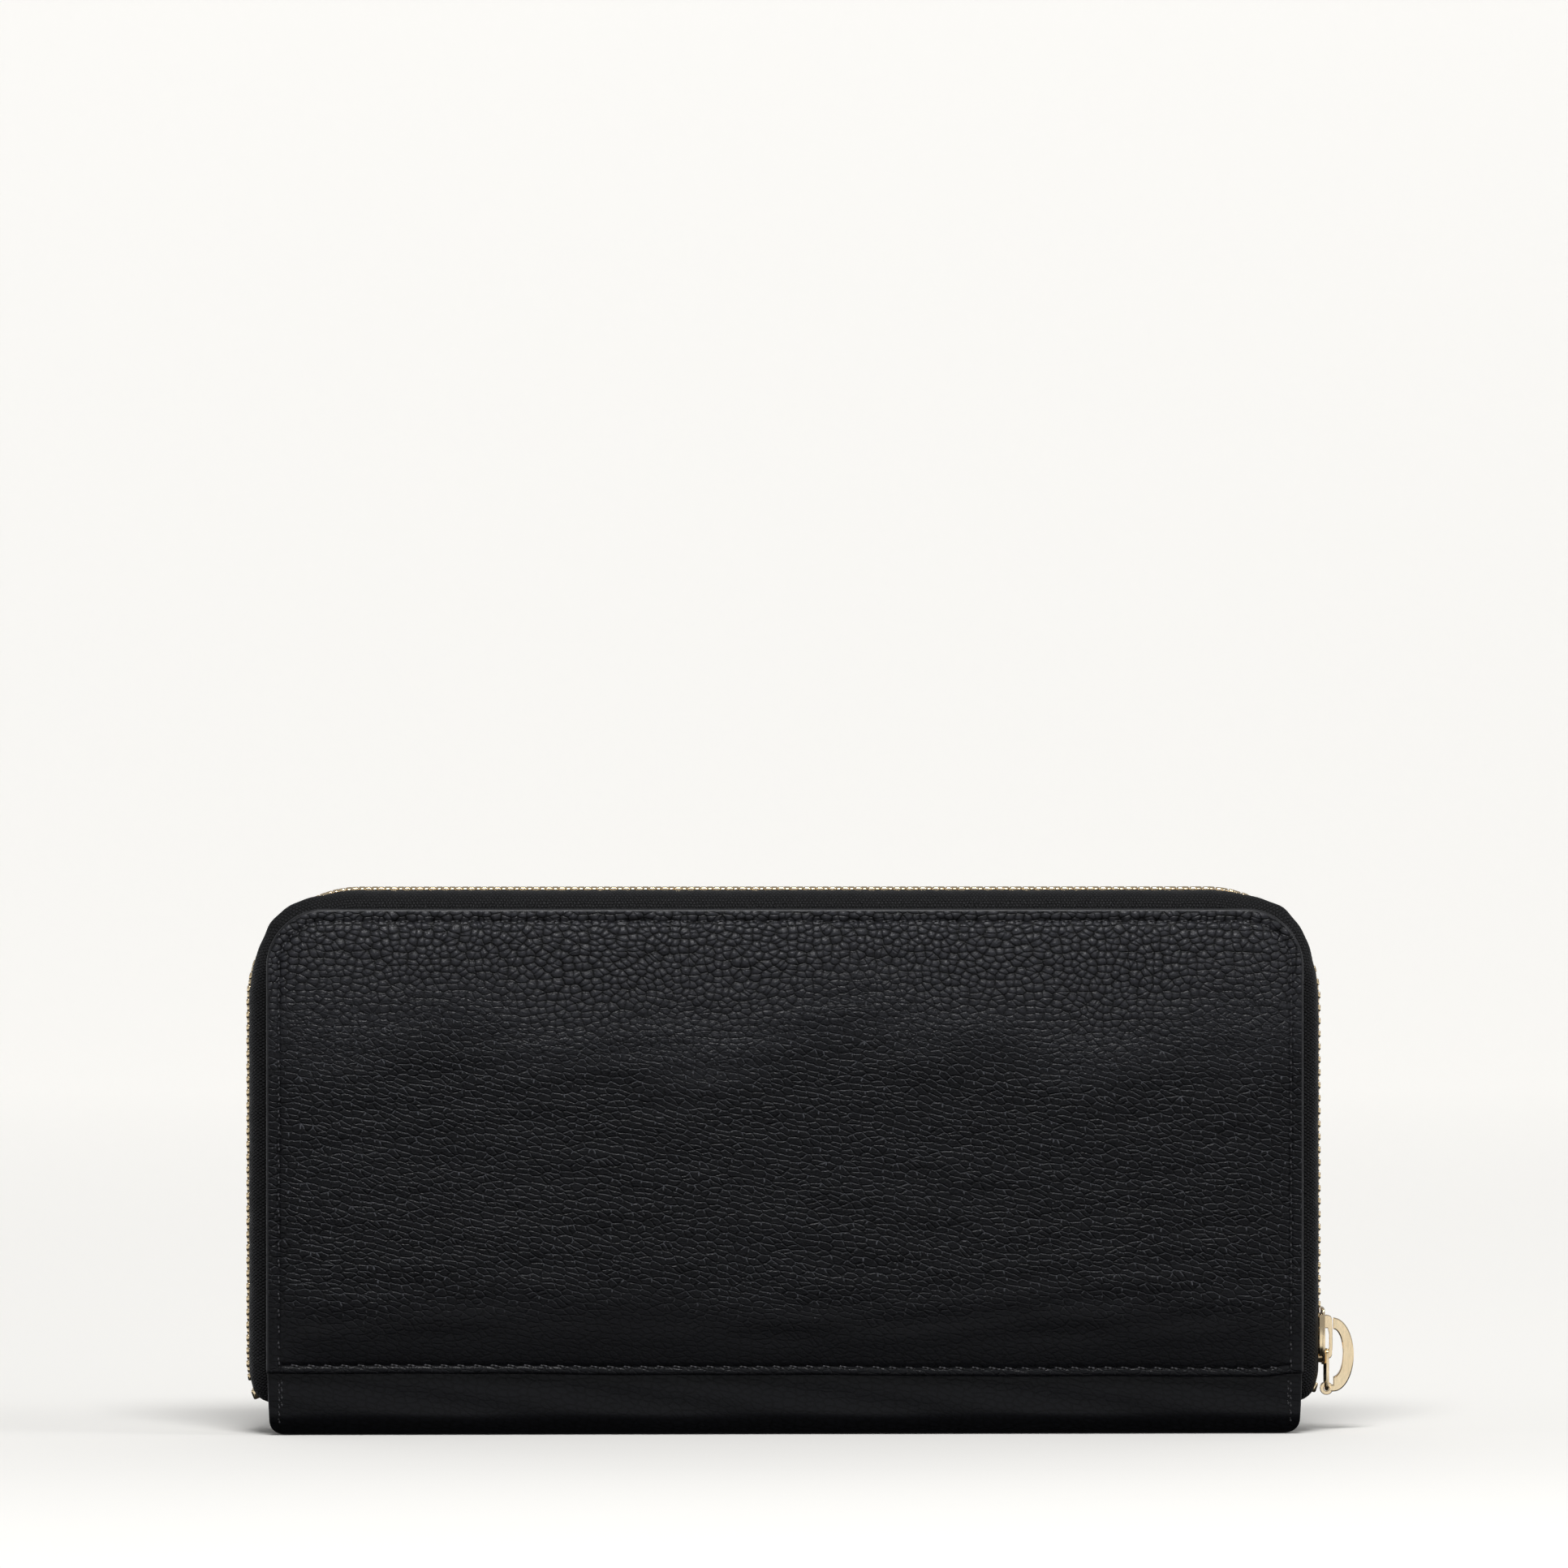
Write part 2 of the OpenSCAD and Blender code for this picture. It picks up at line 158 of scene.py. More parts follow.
def set_uv(mesh, uv):
    layer = mesh.uv_layers.new(name="surface")
    corner = np.empty(len(mesh.loops), np.int32)
    mesh.loops.foreach_get("vertex_index", corner)
    layer.data.foreach_set("uv", np.asarray(uv, np.float32)[corner].ravel())


def piece(name, points, faces, materials, slot, body=None, painted=None, uv=None, **fields):
    """A smooth mesh object from points in millimetres. painted holds each face's material number,
    uv its surface coordinates in millimetres, and fields are per-point attributes."""
    mesh = bpy.data.meshes.new(name)
    mesh.from_pydata((np.asarray(points, float) * MM).tolist(), [], faces)
    for material in materials:
        mesh.materials.append(material)
    if painted is not None:
        mesh.polygons.foreach_set("material_index", np.asarray(painted, np.int32))
    if uv is not None:
        set_uv(mesh, uv)
    for field, values in fields.items():
        attribute = mesh.attributes.new(field, "FLOAT", "POINT")
        attribute.data.foreach_set("value", np.asarray(values, np.float32))
    mesh.polygons.foreach_set("use_smooth", np.ones(len(mesh.polygons), bool))
    work = bmesh.new()
    work.from_mesh(mesh)
    bmesh.ops.recalc_face_normals(work, faces=work.faces)
    work.to_mesh(mesh)
    work.free()
    mesh.update()
    obj = bpy.data.objects.new(name, mesh)
    OBJECTS.link(obj)
    if body:
        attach(obj, body)
    return obj


def crisp(obj, degrees):
    """Smooth shading that keeps the edges sharper than an angle."""
    obj.data.set_sharp_from_angle(angle=math.radians(degrees))
    return obj


def ring_solid(rings):
    """Points and faces of a closed solid lofted through rings of equal length, with flat ends."""
    count = len(rings[0])
    points = np.concatenate([np.asarray(r, float) for r in rings])
    faces = grid_faces(len(rings), count, closed=True)
    faces.append(tuple(range(count)))
    faces.append(tuple(range(len(points) - 1, len(points) - 1 - count, -1)))
    return points, faces


def copies(points, faces, frames):
    """The same solid placed at each frame (origin, x axis, y axis, z axis)."""
    all_points, all_faces = [], []
    for origin, ax, ay, az in frames:
        base = len(all_points) * len(points)
        basis = np.array([ax, ay, az], float)
        all_points.append(points @ basis + np.asarray(origin, float))
        all_faces += [tuple(base + i for i in f) for f in faces]
    return np.concatenate(all_points), all_faces


def band_sides(line, t):
    """The two faces of a band of thickness t along a 2-D line of points."""
    line = np.asarray(line, float)
    direction = np.gradient(line, axis=0)
    direction /= np.linalg.norm(direction, axis=1)[:, None]
    side = np.stack([-direction[:, 1], direction[:, 0]], 1) * t / 2
    return line + side, line - side


def rounded_line(line, rounds=2):
    """Cuts the corners of an open line of points (Chaikin's method)."""
    line = np.asarray(line, float)
    for _ in range(rounds):
        a = line[:-1] * 0.75 + line[1:] * 0.25
        b = line[:-1] * 0.25 + line[1:] * 0.75
        line = np.concatenate([line[:1], np.stack([a, b], 1).reshape(-1, line.shape[1]), line[-1:]])
    return line


# ---- Material helpers ----------------------------------------------------------------


def add(tree, kind, inputs=None, **settings):
    """A shader node. inputs maps socket names or numbers to values or to sockets to link."""
    node = tree.nodes.new("ShaderNode" + kind)
    for key, value in settings.items():
        setattr(node, key, value)
    for key, value in (inputs or {}).items():
        if isinstance(value, bpy.types.NodeSocket):
            tree.links.new(value, node.inputs[key])
        else:
            node.inputs[key].default_value = value
    return node


def new_material(name, **sockets):
    """A material with one Principled shader, whose sockets are set by name."""
    material = bpy.data.materials.new(name)
    material.use_nodes = True
    tree = material.node_tree
    shader = tree.nodes["Principled BSDF"]
    for key, value in sockets.items():
        shader.inputs[key.replace("_", " ")].default_value = value
    return material, tree, shader


def surface(tree, shader, height, distance, tint, rough, strength=1.0):
    """Gives the shader its relief, colour and roughness."""
    bump = add(tree, "Bump", {"Strength": strength, "Distance": distance, "Height": height})
    tree.links.new(bump.outputs[0], shader.inputs["Normal"])
    tree.links.new(tint, shader.inputs["Base Color"])
    tree.links.new(rough, shader.inputs["Roughness"])


def math_node(tree, operation, a, b=0.0):
    return add(tree, "Math", {0: a, 1: b}, operation=operation).outputs[0]


def remap(tree, value, from_min, from_max, to_min=0.0, to_max=1.0, smooth=True):
    inputs = {
        "Value": value,
        "From Min": from_min,
        "From Max": from_max,
        "To Min": to_min,
        "To Max": to_max,
    }
    kind = "SMOOTHSTEP" if smooth else "LINEAR"
    return add(tree, "MapRange", inputs, interpolation_type=kind).outputs["Result"]


def mix_color(tree, factor, a, b):
    node = add(tree, "Mix", {0: factor, 6: a, 7: b}, data_type="RGBA")
    return node.outputs[2]


def noise(tree, vector, scale, detail=2.0, roughness=0.5):
    inputs = {"Vector": vector, "Scale": scale, "Detail": detail, "Roughness": roughness}
    return add(tree, "TexNoise", inputs, noise_dimensions="3D").outputs[0]


def scaled(tree, vector, x, y, z=1.0):
    node = add(tree, "VectorMath", {0: vector, 1: (x, y, z)}, operation="MULTIPLY")
    return node.outputs[0]


def surface_mm(tree, from_uv=True):
    """Surface position in millimetres, from the mesh's own map or from its place in the part."""
    if from_uv:
        return add(tree, "UVMap", uv_map="surface").outputs[0]
    place = add(tree, "TexCoord").outputs["Object"]
    parts = add(tree, "SeparateXYZ", {0: place}).outputs
    flat = add(tree, "CombineXYZ", {0: parts[0], 1: parts[2], 2: parts[1]}).outputs[0]
    return scaled(tree, flat, 1 / MM, 1 / MM, 1 / MM)


def sheared(tree, vector, slope):
    """vector with its second part raised by slope times its first."""
    parts = add(tree, "SeparateXYZ", {0: vector}).outputs
    rise = weighted(tree, (parts[0], slope), (parts[1], 1.0))
    return add(tree, "CombineXYZ", {0: parts[0], 1: rise, 2: parts[2]}).outputs[0]


def warped(tree, vector, scale, amount):
    """vector pushed about by soft noise, so that a pattern on it looks grown."""
    color = add(tree, "TexNoise", {"Vector": vector, "Scale": scale, "Detail": 1.0}).outputs[1]
    offset = add(tree, "VectorMath", {0: color, 1: (0.5, 0.5, 0.5)}, operation="SUBTRACT")
    inputs = {0: offset.outputs[0], 1: (amount, amount, 0.0), 2: vector}
    return add(tree, "VectorMath", inputs, operation="MULTIPLY_ADD").outputs[0]


def grain_cells(tree, vector, width, height, crease, dome=0.0):
    """A pebble pattern: 1 on the pebbles, falling to 0 in the creases between them. crease is
    the share of a pebble over which it falls, and dome is how far its top is rounded."""
    place = scaled(tree, vector, 1 / width, 1 / height)
    cells = {"Vector": place, "Scale": 1.0, "Randomness": 0.85}
    edge = add(tree, "TexVoronoi", cells, voronoi_dimensions="2D", feature="DISTANCE_TO_EDGE")
    pebble = remap(tree, edge.outputs["Distance"], 0.0, crease)
    if not dome:
        return pebble
    middle = add(tree, "TexVoronoi", cells, voronoi_dimensions="2D", feature="F1")
    rounded = remap(tree, middle.outputs["Distance"], 0.75, 0.0)
    return weighted(tree, (pebble, 1 - dome), (rounded, dome))


def weighted(tree, *terms):
    """Sum of (value, weight) pairs."""
    total = 0.0
    for value, weight in terms:
        inputs = {0: value, 1: weight, 2: total}
        total = add(tree, "Math", inputs, operation="MULTIPLY_ADD").outputs[0]
    return total


def cell_top_highlights(tree, vector, width, height):
    """1 on thin, broken arcs over the tops of the cells: a painted highlight where light from above
    would catch their upper edges.
    """
    place = scaled(tree, vector, 1 / width, 1 / height)
    cells = {"Vector": place, "Scale": 1.0, "Randomness": 0.85}
    edge = add(tree, "TexVoronoi", cells, voronoi_dimensions="2D", feature="DISTANCE_TO_EDGE")
    middle = add(tree, "TexVoronoi", cells, voronoi_dimensions="2D", feature="F1")
    ends = {0: place, 1: middle.outputs["Position"]}
    offset = add(tree, "VectorMath", ends, operation="SUBTRACT")
    rise = add(tree, "SeparateXYZ", {0: offset.outputs[0]}).outputs[1]
    upward = math_node(tree, "DIVIDE", rise, middle.outputs["Distance"])
    line = remap(tree, edge.outputs["Distance"], 0.02, 0.1, 1.0, 0.0)
    line = math_node(tree, "MULTIPLY", line, remap(tree, upward, 0.15, 0.6))
    patches = remap(tree, noise(tree, scaled(tree, vector, 0.5, 0.9), 1.0, 2.0), 0.32, 0.56)
    return math_node(tree, "MULTIPLY", line, patches)


def leather(name, from_uv=True, grain=1.0, streak=0.0, painted_highlight=1.0):
    """Black pebbled leather. Round pebbles where the mesh's 'round' attribute is high, and low
    creased cells elsewhere. Where that attribute is high the colour is also painted lighter, as a
    highlight from the light above, and the creases are painted darker as shade. 'grain' scales the
    depth from point to point, and the last argument is how far the upper edges of the creases are
    painted lighter as a highlight. The weights of the height are in millimetres."""
    material, tree, shader = new_material(name, Specular_IOR_Level=0.2)
    flat = surface_mm(tree, from_uv)
    place = warped(tree, warped(tree, flat, 0.05, 3.0), 0.5, 0.35)
    if from_uv:
        round_and_lit_share = add(tree, "Attribute", attribute_name="round").outputs["Fac"]
        depth = add(tree, "Attribute", attribute_name="grain").outputs["Fac"]
    else:
        round_and_lit_share, depth = 0.4, 0.8
    pebbles = grain_cells(tree, place, 1.6, 1.2, 0.18, dome=0.66)
    skewed = sheared(tree, place, 0.22)
    kinked = warped(tree, warped(tree, skewed, 1.1, 0.3), 3.5, 0.08)
    creases = grain_cells(tree, kinked, 2.0, 1.08, 0.2)
    small = grain_cells(tree, place, 0.9, 0.6, 0.2)
    fine = noise(tree, flat, 3.0, 3.0, 0.6)
    highlight_lines = cell_top_highlights(tree, kinked, 2.0, 1.08)
    swell = noise(tree, place, 0.5, 2.0)
    plump = weighted(tree, (pebbles, 0.36), (small, 0.03), (swell, 0.12))
    lean = weighted(tree, (creases, 0.08), (highlight_lines, 0.03), (small, 0.02), (swell, 0.15))
    height = remap(tree, round_and_lit_share, 0.0, 1.0, lean, plump, smooth=False)
    if streak:
        lines = noise(tree, scaled(tree, flat, 1.3, 0.12), 1.0, 3.0, 0.6)
        height = weighted(tree, (height, 1.0), (lines, streak))
    height = math_node(tree, "MULTIPLY", height, depth)
    height = weighted(tree, (height, 1.0), (fine, 0.05))
    # Painted shade: this mask is low in the creases, which take the darker colour, and high on the
    # pebble tops; it also makes the creases rougher.
    lean_shaded_crease_mask = remap(tree, creases, 0.2, 1.0, 0.45, 1.0)
    shaded_crease_mask = remap(tree, round_and_lit_share, 0.0, 1.0, lean_shaded_crease_mask, pebbles, smooth=False)
    cloud = noise(tree, flat, 0.05, 2.0)
    # low is the painted shade colour of the creases, tops the colour of the pebble tops; cloud
    # varies both at random.
    low = mix_color(tree, cloud, (0.0008, 0.0008, 0.001, 1), (0.0014, 0.0014, 0.0017, 1))
    tops = mix_color(tree, cloud, (0.0022, 0.0023, 0.0032, 1), (0.0036, 0.0038, 0.005, 1))
    # Painted highlight: the upper edges of the creases are painted a pale colour, only outside the
    # round zone and where the grain is deep.
    share = math_node(tree, "MULTIPLY", highlight_lines, remap(tree, round_and_lit_share, 0.2, 0.9, painted_highlight, 0.0))
    share = math_node(tree, "MULTIPLY", share, remap(tree, depth, 0.35, 0.9))
    # Painted highlight: the higher the 'round' share, as over the upper panel, the lighter the tops
    # are painted, as if the padded crown caught the light from above.
    painted_lit_tops = mix_color(tree, round_and_lit_share, tops, (0.024, 0.0245, 0.029, 1))
    tint = mix_color(tree, share, mix_color(tree, shaded_crease_mask, low, painted_lit_tops), (0.052, 0.054, 0.062, 1))
    rough = remap(tree, weighted(tree, (shaded_crease_mask, 0.6), (fine, 0.6)), 0.2, 1.0, 0.4, 0.3)
    surface(tree, shader, height, MM * grain, tint, rough)
    return material


def edge_paint():
    """Thick black edge paint, smoother than the leather, with faint brush waves."""
    material, tree, shader = new_material("edge_paint", Specular_IOR_Level=0.3)
    place = surface_mm(tree, False)
    waves = noise(tree, place, 0.8, 3.0)
    tint = mix_color(tree, waves, (0.006, 0.006, 0.007, 1), (0.012, 0.012, 0.014, 1))
    rough = remap(tree, waves, 0.3, 0.7, 0.34, 0.46)
    surface(tree, shader, waves, 0.05 * MM, tint, rough, 0.5)
    return material


def woven(name, dark, light, pitch, row, rough, sheen, from_uv, depth):
    """Cloth woven in rows: bumps along each row, set half a bump over in the next. depth is in
    millimetres."""
    material, tree, shader = new_material(
        name, Sheen_Weight=sheen, Sheen_Roughness=0.5, Specular_IOR_Level=0.2
    )
    flat = surface_mm(tree, from_uv)
    place = warped(tree, warped(tree, flat, 0.6, 0.3), 2.4, 0.22)
    parts = add(tree, "SeparateXYZ", {0: place}).outputs
    row_number = math_node(tree, "FLOOR", math_node(tree, "DIVIDE", parts[1], row))
    along = weighted(tree, (row_number, pitch / 2), (parts[0], 1.0))
    threads = math_node(tree, "SINE", math_node(tree, "MULTIPLY", along, 2 * math.pi / pitch))
    ridges = math_node(tree, "SINE", math_node(tree, "MULTIPLY", parts[1], math.pi / row))
    ridge = remap(tree, math_node(tree, "ABSOLUTE", ridges), 0.0, 0.6)
    cord = math_node(tree, "MULTIPLY", remap(tree, threads, -1.0, 0.6), ridge)
    fuzz = noise(tree, flat, 5.0, 2.0)
    height = weighted(tree, (cord, depth), (fuzz, 0.4 * depth))
    # Painted light and shade, with random tone: the raised cords take the light colour and the gaps
    # between them the dark one, varied by noise.
    painted_cord_light = math_node(tree, "MULTIPLY", cord, remap(tree, fuzz, 0.35, 0.65, 0.1, 1.0))
    uneven = remap(tree, fuzz, 0.3, 0.7, rough - 0.08, rough + 0.08)
    surface(tree, shader, height, MM, mix_color(tree, painted_cord_light, dark, light), uneven)
    return material


def thread(name, dark, light):
    """Waxed sewing thread: twisted strands along each stitch."""
    material, tree, shader = new_material(name, Specular_IOR_Level=0.25)
    parts = add(tree, "SeparateXYZ", {0: surface_mm(tree)}).outputs
    twist = math_node(tree, "ADD", math_node(tree, "MULTIPLY", parts[0], 7.5), parts[1])
    strand = remap(tree, math_node(tree, "SINE", twist), -1.0, 1.0)
    # Painted light and shade: the crests of the strands take the light colour and the grooves
    # between them the dark one.
    tint = mix_color(tree, strand, dark, light)
    surface(tree, shader, strand, 0.08 * MM, tint, remap(tree, strand, 0.0, 1.0, 0.5, 0.36), 0.8)
    return material


def gold():
    """Polished pale gold plate with faint wipe marks and slightly duller low spots."""
    material, tree, shader = new_material("pale_gold", Metallic=1.0)
    place = surface_mm(tree, False)
    marks = noise(tree, scaled(tree, place, 6.0, 0.8, 6.0), 1.0, 3.0, 0.6)
    soft = noise(tree, place, 0.35, 2.0)
    tint = mix_color(tree, soft, (0.88, 0.68, 0.42, 1), (0.93, 0.76, 0.5, 1))
    surface(tree, shader, marks, 0.01 * MM, tint, remap(tree, marks, 0.3, 0.7, 0.12, 0.2), 0.25)
    return material


def board():
    """Grey-brown bonded fibreboard with flecks."""
    material, tree, shader = new_material("fibreboard", Specular_IOR_Level=0.3)
    place = surface_mm(tree, False)
    flecks = noise(tree, scaled(tree, place, 0.6, 2.2), 1.0, 4.0, 0.7)
    share = remap(tree, flecks, 0.35, 0.65)
    tint = mix_color(tree, share, (0.2, 0.16, 0.12, 1), (0.36, 0.3, 0.23, 1))
    rough = remap(tree, flecks, 0.3, 0.7, 0.75, 0.92)
    surface(tree, shader, flecks, 0.05 * MM, tint, rough, 0.6)
    return material


def backdrop_material():
    """Matt pale paper. It is lit from behind further back, so that the floor and the backdrop
    look evenly bright."""
    material, tree, shader = new_material("pale_paper", Roughness=0.9, Specular_IOR_Level=0.1)
    shader.inputs["Base Color"].default_value = (0.78, 0.768, 0.742, 1)
    shader.inputs["Emission Color"].default_value = (1.0, 0.985, 0.955, 1)
    place = add(tree, "SeparateXYZ", {0: add(tree, "TexCoord").outputs["Object"]}).outputs
    away = math_node(tree, "MAXIMUM", place[1], math_node(tree, "SUBTRACT", PAPER_DARK, place[1]))
    away = math_node(tree, "MAXIMUM", away, 0.0)
    fade = math_node(tree, "SUBTRACT", 1.0, math_node(tree, "POWER", 0.2, away))
    glow = math_node(tree, "MULTIPLY", fade, PAPER_GLOW)
    grain = noise(tree, add(tree, "TexCoord").outputs["Object"], 900.0, 2.0)
    glow = math_node(tree, "MULTIPLY", glow, remap(tree, grain, 0.0, 1.0, 0.985, 1.0))
    tree.links.new(glow, shader.inputs["Emission Strength"])
    return material


# The glow of the far paper, and how far in front of the wallet the floor starts to glow
PAPER_GLOW = 0.512
PAPER_DARK = -0.5
# Brightness of the room: a pale band at the horizon, dimmer above it and dark below it
ROOM_ABOVE = 0.35
ROOM_HORIZON = 1.0
ROOM_BELOW = 0.02

LEATHER = leather("black_leather")
# The spine leather gets a weaker painted highlight on its creases.
BAND_LEATHER = leather("black_leather_smooth", grain=0.3, streak=0.3, painted_highlight=0.12)
INNER_LEATHER = leather("black_leather_inside", from_uv=False, grain=0.6)
EDGE = edge_paint()
# Each pair is a painted shade colour for the gaps between the cords and a painted highlight colour
# for the raised cords.
TAPE_DARK, TAPE_LIGHT = (0.0004, 0.0004, 0.0005, 1), (0.02, 0.02, 0.023, 1)
TAPE = woven("zip_tape_weave", TAPE_DARK, TAPE_LIGHT, 0.62, 0.6, 0.5, 0.0, True, 0.4)
LINING_DARK, LINING_LIGHT = (0.008, 0.007, 0.007, 1), (0.03, 0.028, 0.027, 1)
LINING = woven("lining_twill", LINING_DARK, LINING_LIGHT, 0.5, 0.45, 0.7, 0.1, False, 0.05)
THREAD = thread("black_thread", (0.0012, 0.0012, 0.0014, 1), (0.045, 0.045, 0.05, 1))
GOLD = gold()
BOARD = board()


# ---- The zip's path ------------------------------------------------------------------


def zip_path(s):
    """x, z and the angle of the outward direction, at distances s from the lower right end."""
    s = np.asarray(s, float)
    left = s > PATH_LEN / 2
    t = np.where(left, PATH_LEN - s, s)
    tuck = np.clip(TUCK_LEN - t, 0, None) / TUCK_R
    side = np.clip(t - TUCK_LEN, 0, SIDE_LEN)
    corner = np.clip(t - TUCK_LEN - SIDE_LEN, 0, CORNER_LEN) / CORNER_R
    along = np.clip(t - TUCK_LEN - SIDE_LEN - CORNER_LEN, 0, None)
    x = ZIP_X - TUCK_R * (1 - np.cos(tuck)) - CORNER_R * (1 - np.cos(corner)) - along
    z = TUCK_Z - TUCK_R * np.sin(tuck) + side + CORNER_R * np.sin(corner)
    angle = corner - tuck
    return np.where(left, -x, x), z, np.where(left, math.pi - angle, angle)


def corner_share(s):
    """1 in the middle of a top corner, falling to 0 away from the corners."""
    t = np.minimum(s, PATH_LEN - s)
    turn = np.degrees((t - TUCK_LEN - SIDE_LEN) / CORNER_R)
    return np.exp(-(((turn - 46) / 21) ** 2))


def tape_rings(depths, rises, s, side):
    """Rings of a tape's section placed along the path. depths are distances from the middle
    plane and rises are heights above the path, both with one row per place on the path."""
    x, z, angle = zip_path(s)
    points = np.empty((len(s), depths.shape[1], 3))
    points[:, :, 0] = x[:, None] + rises * np.cos(angle)[:, None]
    points[:, :, 1] = side * depths
    points[:, :, 2] = z[:, None] + rises * np.sin(angle)[:, None]
    return points


def zip_tape(side, label):
    """One woven tape. It puckers outwards round the corners, where the chain sinks behind it."""
    tape_t = 0.55
    step = 0.8
    section = rounded_line(
        [[9.5, -8], [9.5, -4.4], [9.2, -2.6], [8.1, -1.15], [6.3, -0.3], [4.2, 0], [1.15, 0]], 2
    )
    under, over = band_sides(section, tape_t)
    cord = np.array([[0.95, -0.33], [0.8, -0.12], [0.8, 0.12], [0.95, 0.33]])
    profile = np.concatenate([under, cord, over[::-1]])
    s = np.linspace(0, PATH_LEN, int(PATH_LEN / step))
    depths = np.repeat(profile[None, :, 0], len(s), 0)
    rises = np.repeat(profile[None, :, 1], len(s), 0)
    wedge = (1 - smoothstep(TUCK_LEN + 1.6, TUCK_LEN + 3.6, s))[:, None] * 0.8
    depths = depths + wedge * (1 - smoothstep(1.1, 2.6, depths))
    hump = np.exp(-(((depths - 5.6) / 2.5) ** 2))
    rng = np.random.RandomState(7 + side)
    ripple = sum(
        0.05 * np.sin(2 * math.pi * s / length + phase)
        for length, phase in zip((4.3, 7.1, 12.7, 29.0), rng.uniform(0, 6.28, 4))
    )
    lift = 1.7 * corner_share(s) + ripple * (0.5 + corner_share(s))
    from_end = np.minimum(s, PATH_LEN - s)
    rises = rises + hump * lift[:, None] - 1.5 * (np.clip(1 - from_end / 3.5, 0, 1) ** 2)[:, None]
    points = tape_rings(depths, rises, s, side)
    across = running_length(profile)
    uv = np.stack([np.repeat(s, len(profile)), np.tile(across, len(s))], 1)
    faces = grid_faces(len(s), len(profile), closed=True)
    faces += [tuple(range(len(profile)))]
    last = (len(s) - 1) * len(profile)
    faces += [tuple(range(last, last + len(profile)))]
    tape = piece(f"{label}_tape", points.reshape(-1, 3), faces, [TAPE], "zip_tape", uv=uv)
    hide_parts(f"{label}_zip_tape")
    return bend(tape)


def bend(obj):
    """Bakes the piece's placement into its points."""
    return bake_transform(obj)


def rounded_section(half_w, half_t, roundness=0.35, count=12):
    """A superellipse ring in the plane of x and z."""
    angles = (np.arange(count) + 0.5) * 2 * math.pi / count
    ring = np.stack([np.cos(angles), np.sin(angles)], 1)
    return np.sign(ring) * np.abs(ring) ** roundness * [half_w, half_t]


def tooth_solid(leg, head, reach, nose, half_t):
    """One zip tooth: two jaws pressed over the tape's cord, narrowing to a head with a nib.
    x runs along the zip, y from the head outwards over the tape, z out of the wallet."""
    stations = [
        (-nose, 0.72 * head, 0.5 * half_t),
        (-nose + 0.12, 0.95 * head, 0.7 * half_t),
        (0.1, head, 0.74 * half_t),
        (nose * 0.75, head * 1.02, 0.8 * half_t),
        (nose * 1.15, leg * 0.92, 0.97 * half_t),
        (nose * 1.6, leg, half_t),
        (reach * 0.75, leg, half_t),
        (reach * 0.94, leg * 0.95, 0.9 * half_t),
        (reach, leg * 0.75, 0.6 * half_t),
    ]
    rings = []
    for y, half_w, half_h in stations:
        ring = rounded_section(half_w, half_h)
        rings.append(np.stack([ring[:, 0], np.full(len(ring), y), ring[:, 1]], 1))
    return ring_solid(rings)


def chain_frames(places, side):
    x, z, angle = zip_path(places)
    return [
        (
            (px, 0, pz),
            (-math.sin(a), 0, math.cos(a)),
            (0, side, 0),
            (math.cos(a), 0, math.sin(a)),
        )
        for px, pz, a in zip(x, z, angle)
    ]


def zip_teeth(side, label):
    """The row of metal teeth on one tape. The rear row stands half a pitch on."""
    shift = 0 if side == FRONT else PITCH / 2
    solid = tooth_solid(0.66, 0.43, 2.8, 0.62, TOOTH_HALF_T)
    places = np.arange(CHAIN_START + shift, CHAIN_END, PITCH)
    points, faces = copies(*solid, chain_frames(places, side))
    row = piece(f"{label}_teeth", points, faces, [GOLD], "gold_metal")
    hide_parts(f"{label}_zip_teeth")
    return bend(row)


def zip_stops(side, label):
    """Pressed metal stops at both ends of one row."""
    solid = tooth_solid(0.95, 0.85, 3.7, 0.2, TOOTH_HALF_T)
    points = solid[0] * np.array([1, 0.42, 1]) + np.array([0, 2.15, 0])
    places = np.array([3.4, CHAIN_END + 2.6])
    points, faces = copies(points, solid[1], chain_frames(places, side))
    stops = piece(f"{label}_stops", points, faces, [GOLD], "gold_metal")
    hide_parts(f"{label}_zip_stops")
    return bend(stops)


# ---- Stitches ------------------------------------------------------------------------


def stitch_solid(length, radius, sides=8):
    """One stitch of thread: bowed, with both ends going down into the needle holes."""
    rings = []
    for t in np.linspace(-1, 1, 9):
        along = t * length / 2
        up = 0.05 - 0.5 * abs(t) ** 4
        r = radius * (1 - 0.35 * abs(t) ** 3)
        angles = np.arange(sides) * 2 * math.pi / sides
        across, height = r * np.cos(angles), up + 0.8 * r * np.sin(angles)
        rings.append(np.stack([np.full(sides, along), across, height], 1))
    return ring_solid(rings)


def stitch_frames(centres, headings, normals, slant=9):
    """Places for stitches, each turned a little from the seam's direction."""
    frames = []
    turn = math.radians(slant)
    for centre, heading, normal in zip(centres, headings, normals):
        z = Vector(normal).normalized()
        x = (Vector(heading) - z * Vector(heading).dot(z)).normalized()
        y = z.cross(x)
        ahead = x * math.cos(turn) + y * math.sin(turn)
        frames.append((centre, tuple(ahead), tuple(z.cross(ahead)), tuple(z)))
    return frames


def stitching(name, frames, length, slot, radius):
    """A piece of thread: the same stitch at each of the frames."""
    solid = stitch_solid(length, radius)
    points, faces = copies(*solid, frames)
    uv = np.tile(solid[0][:, :2], (len(frames), 1))
    return piece(name, points, faces, [THREAD], slot, uv=uv)


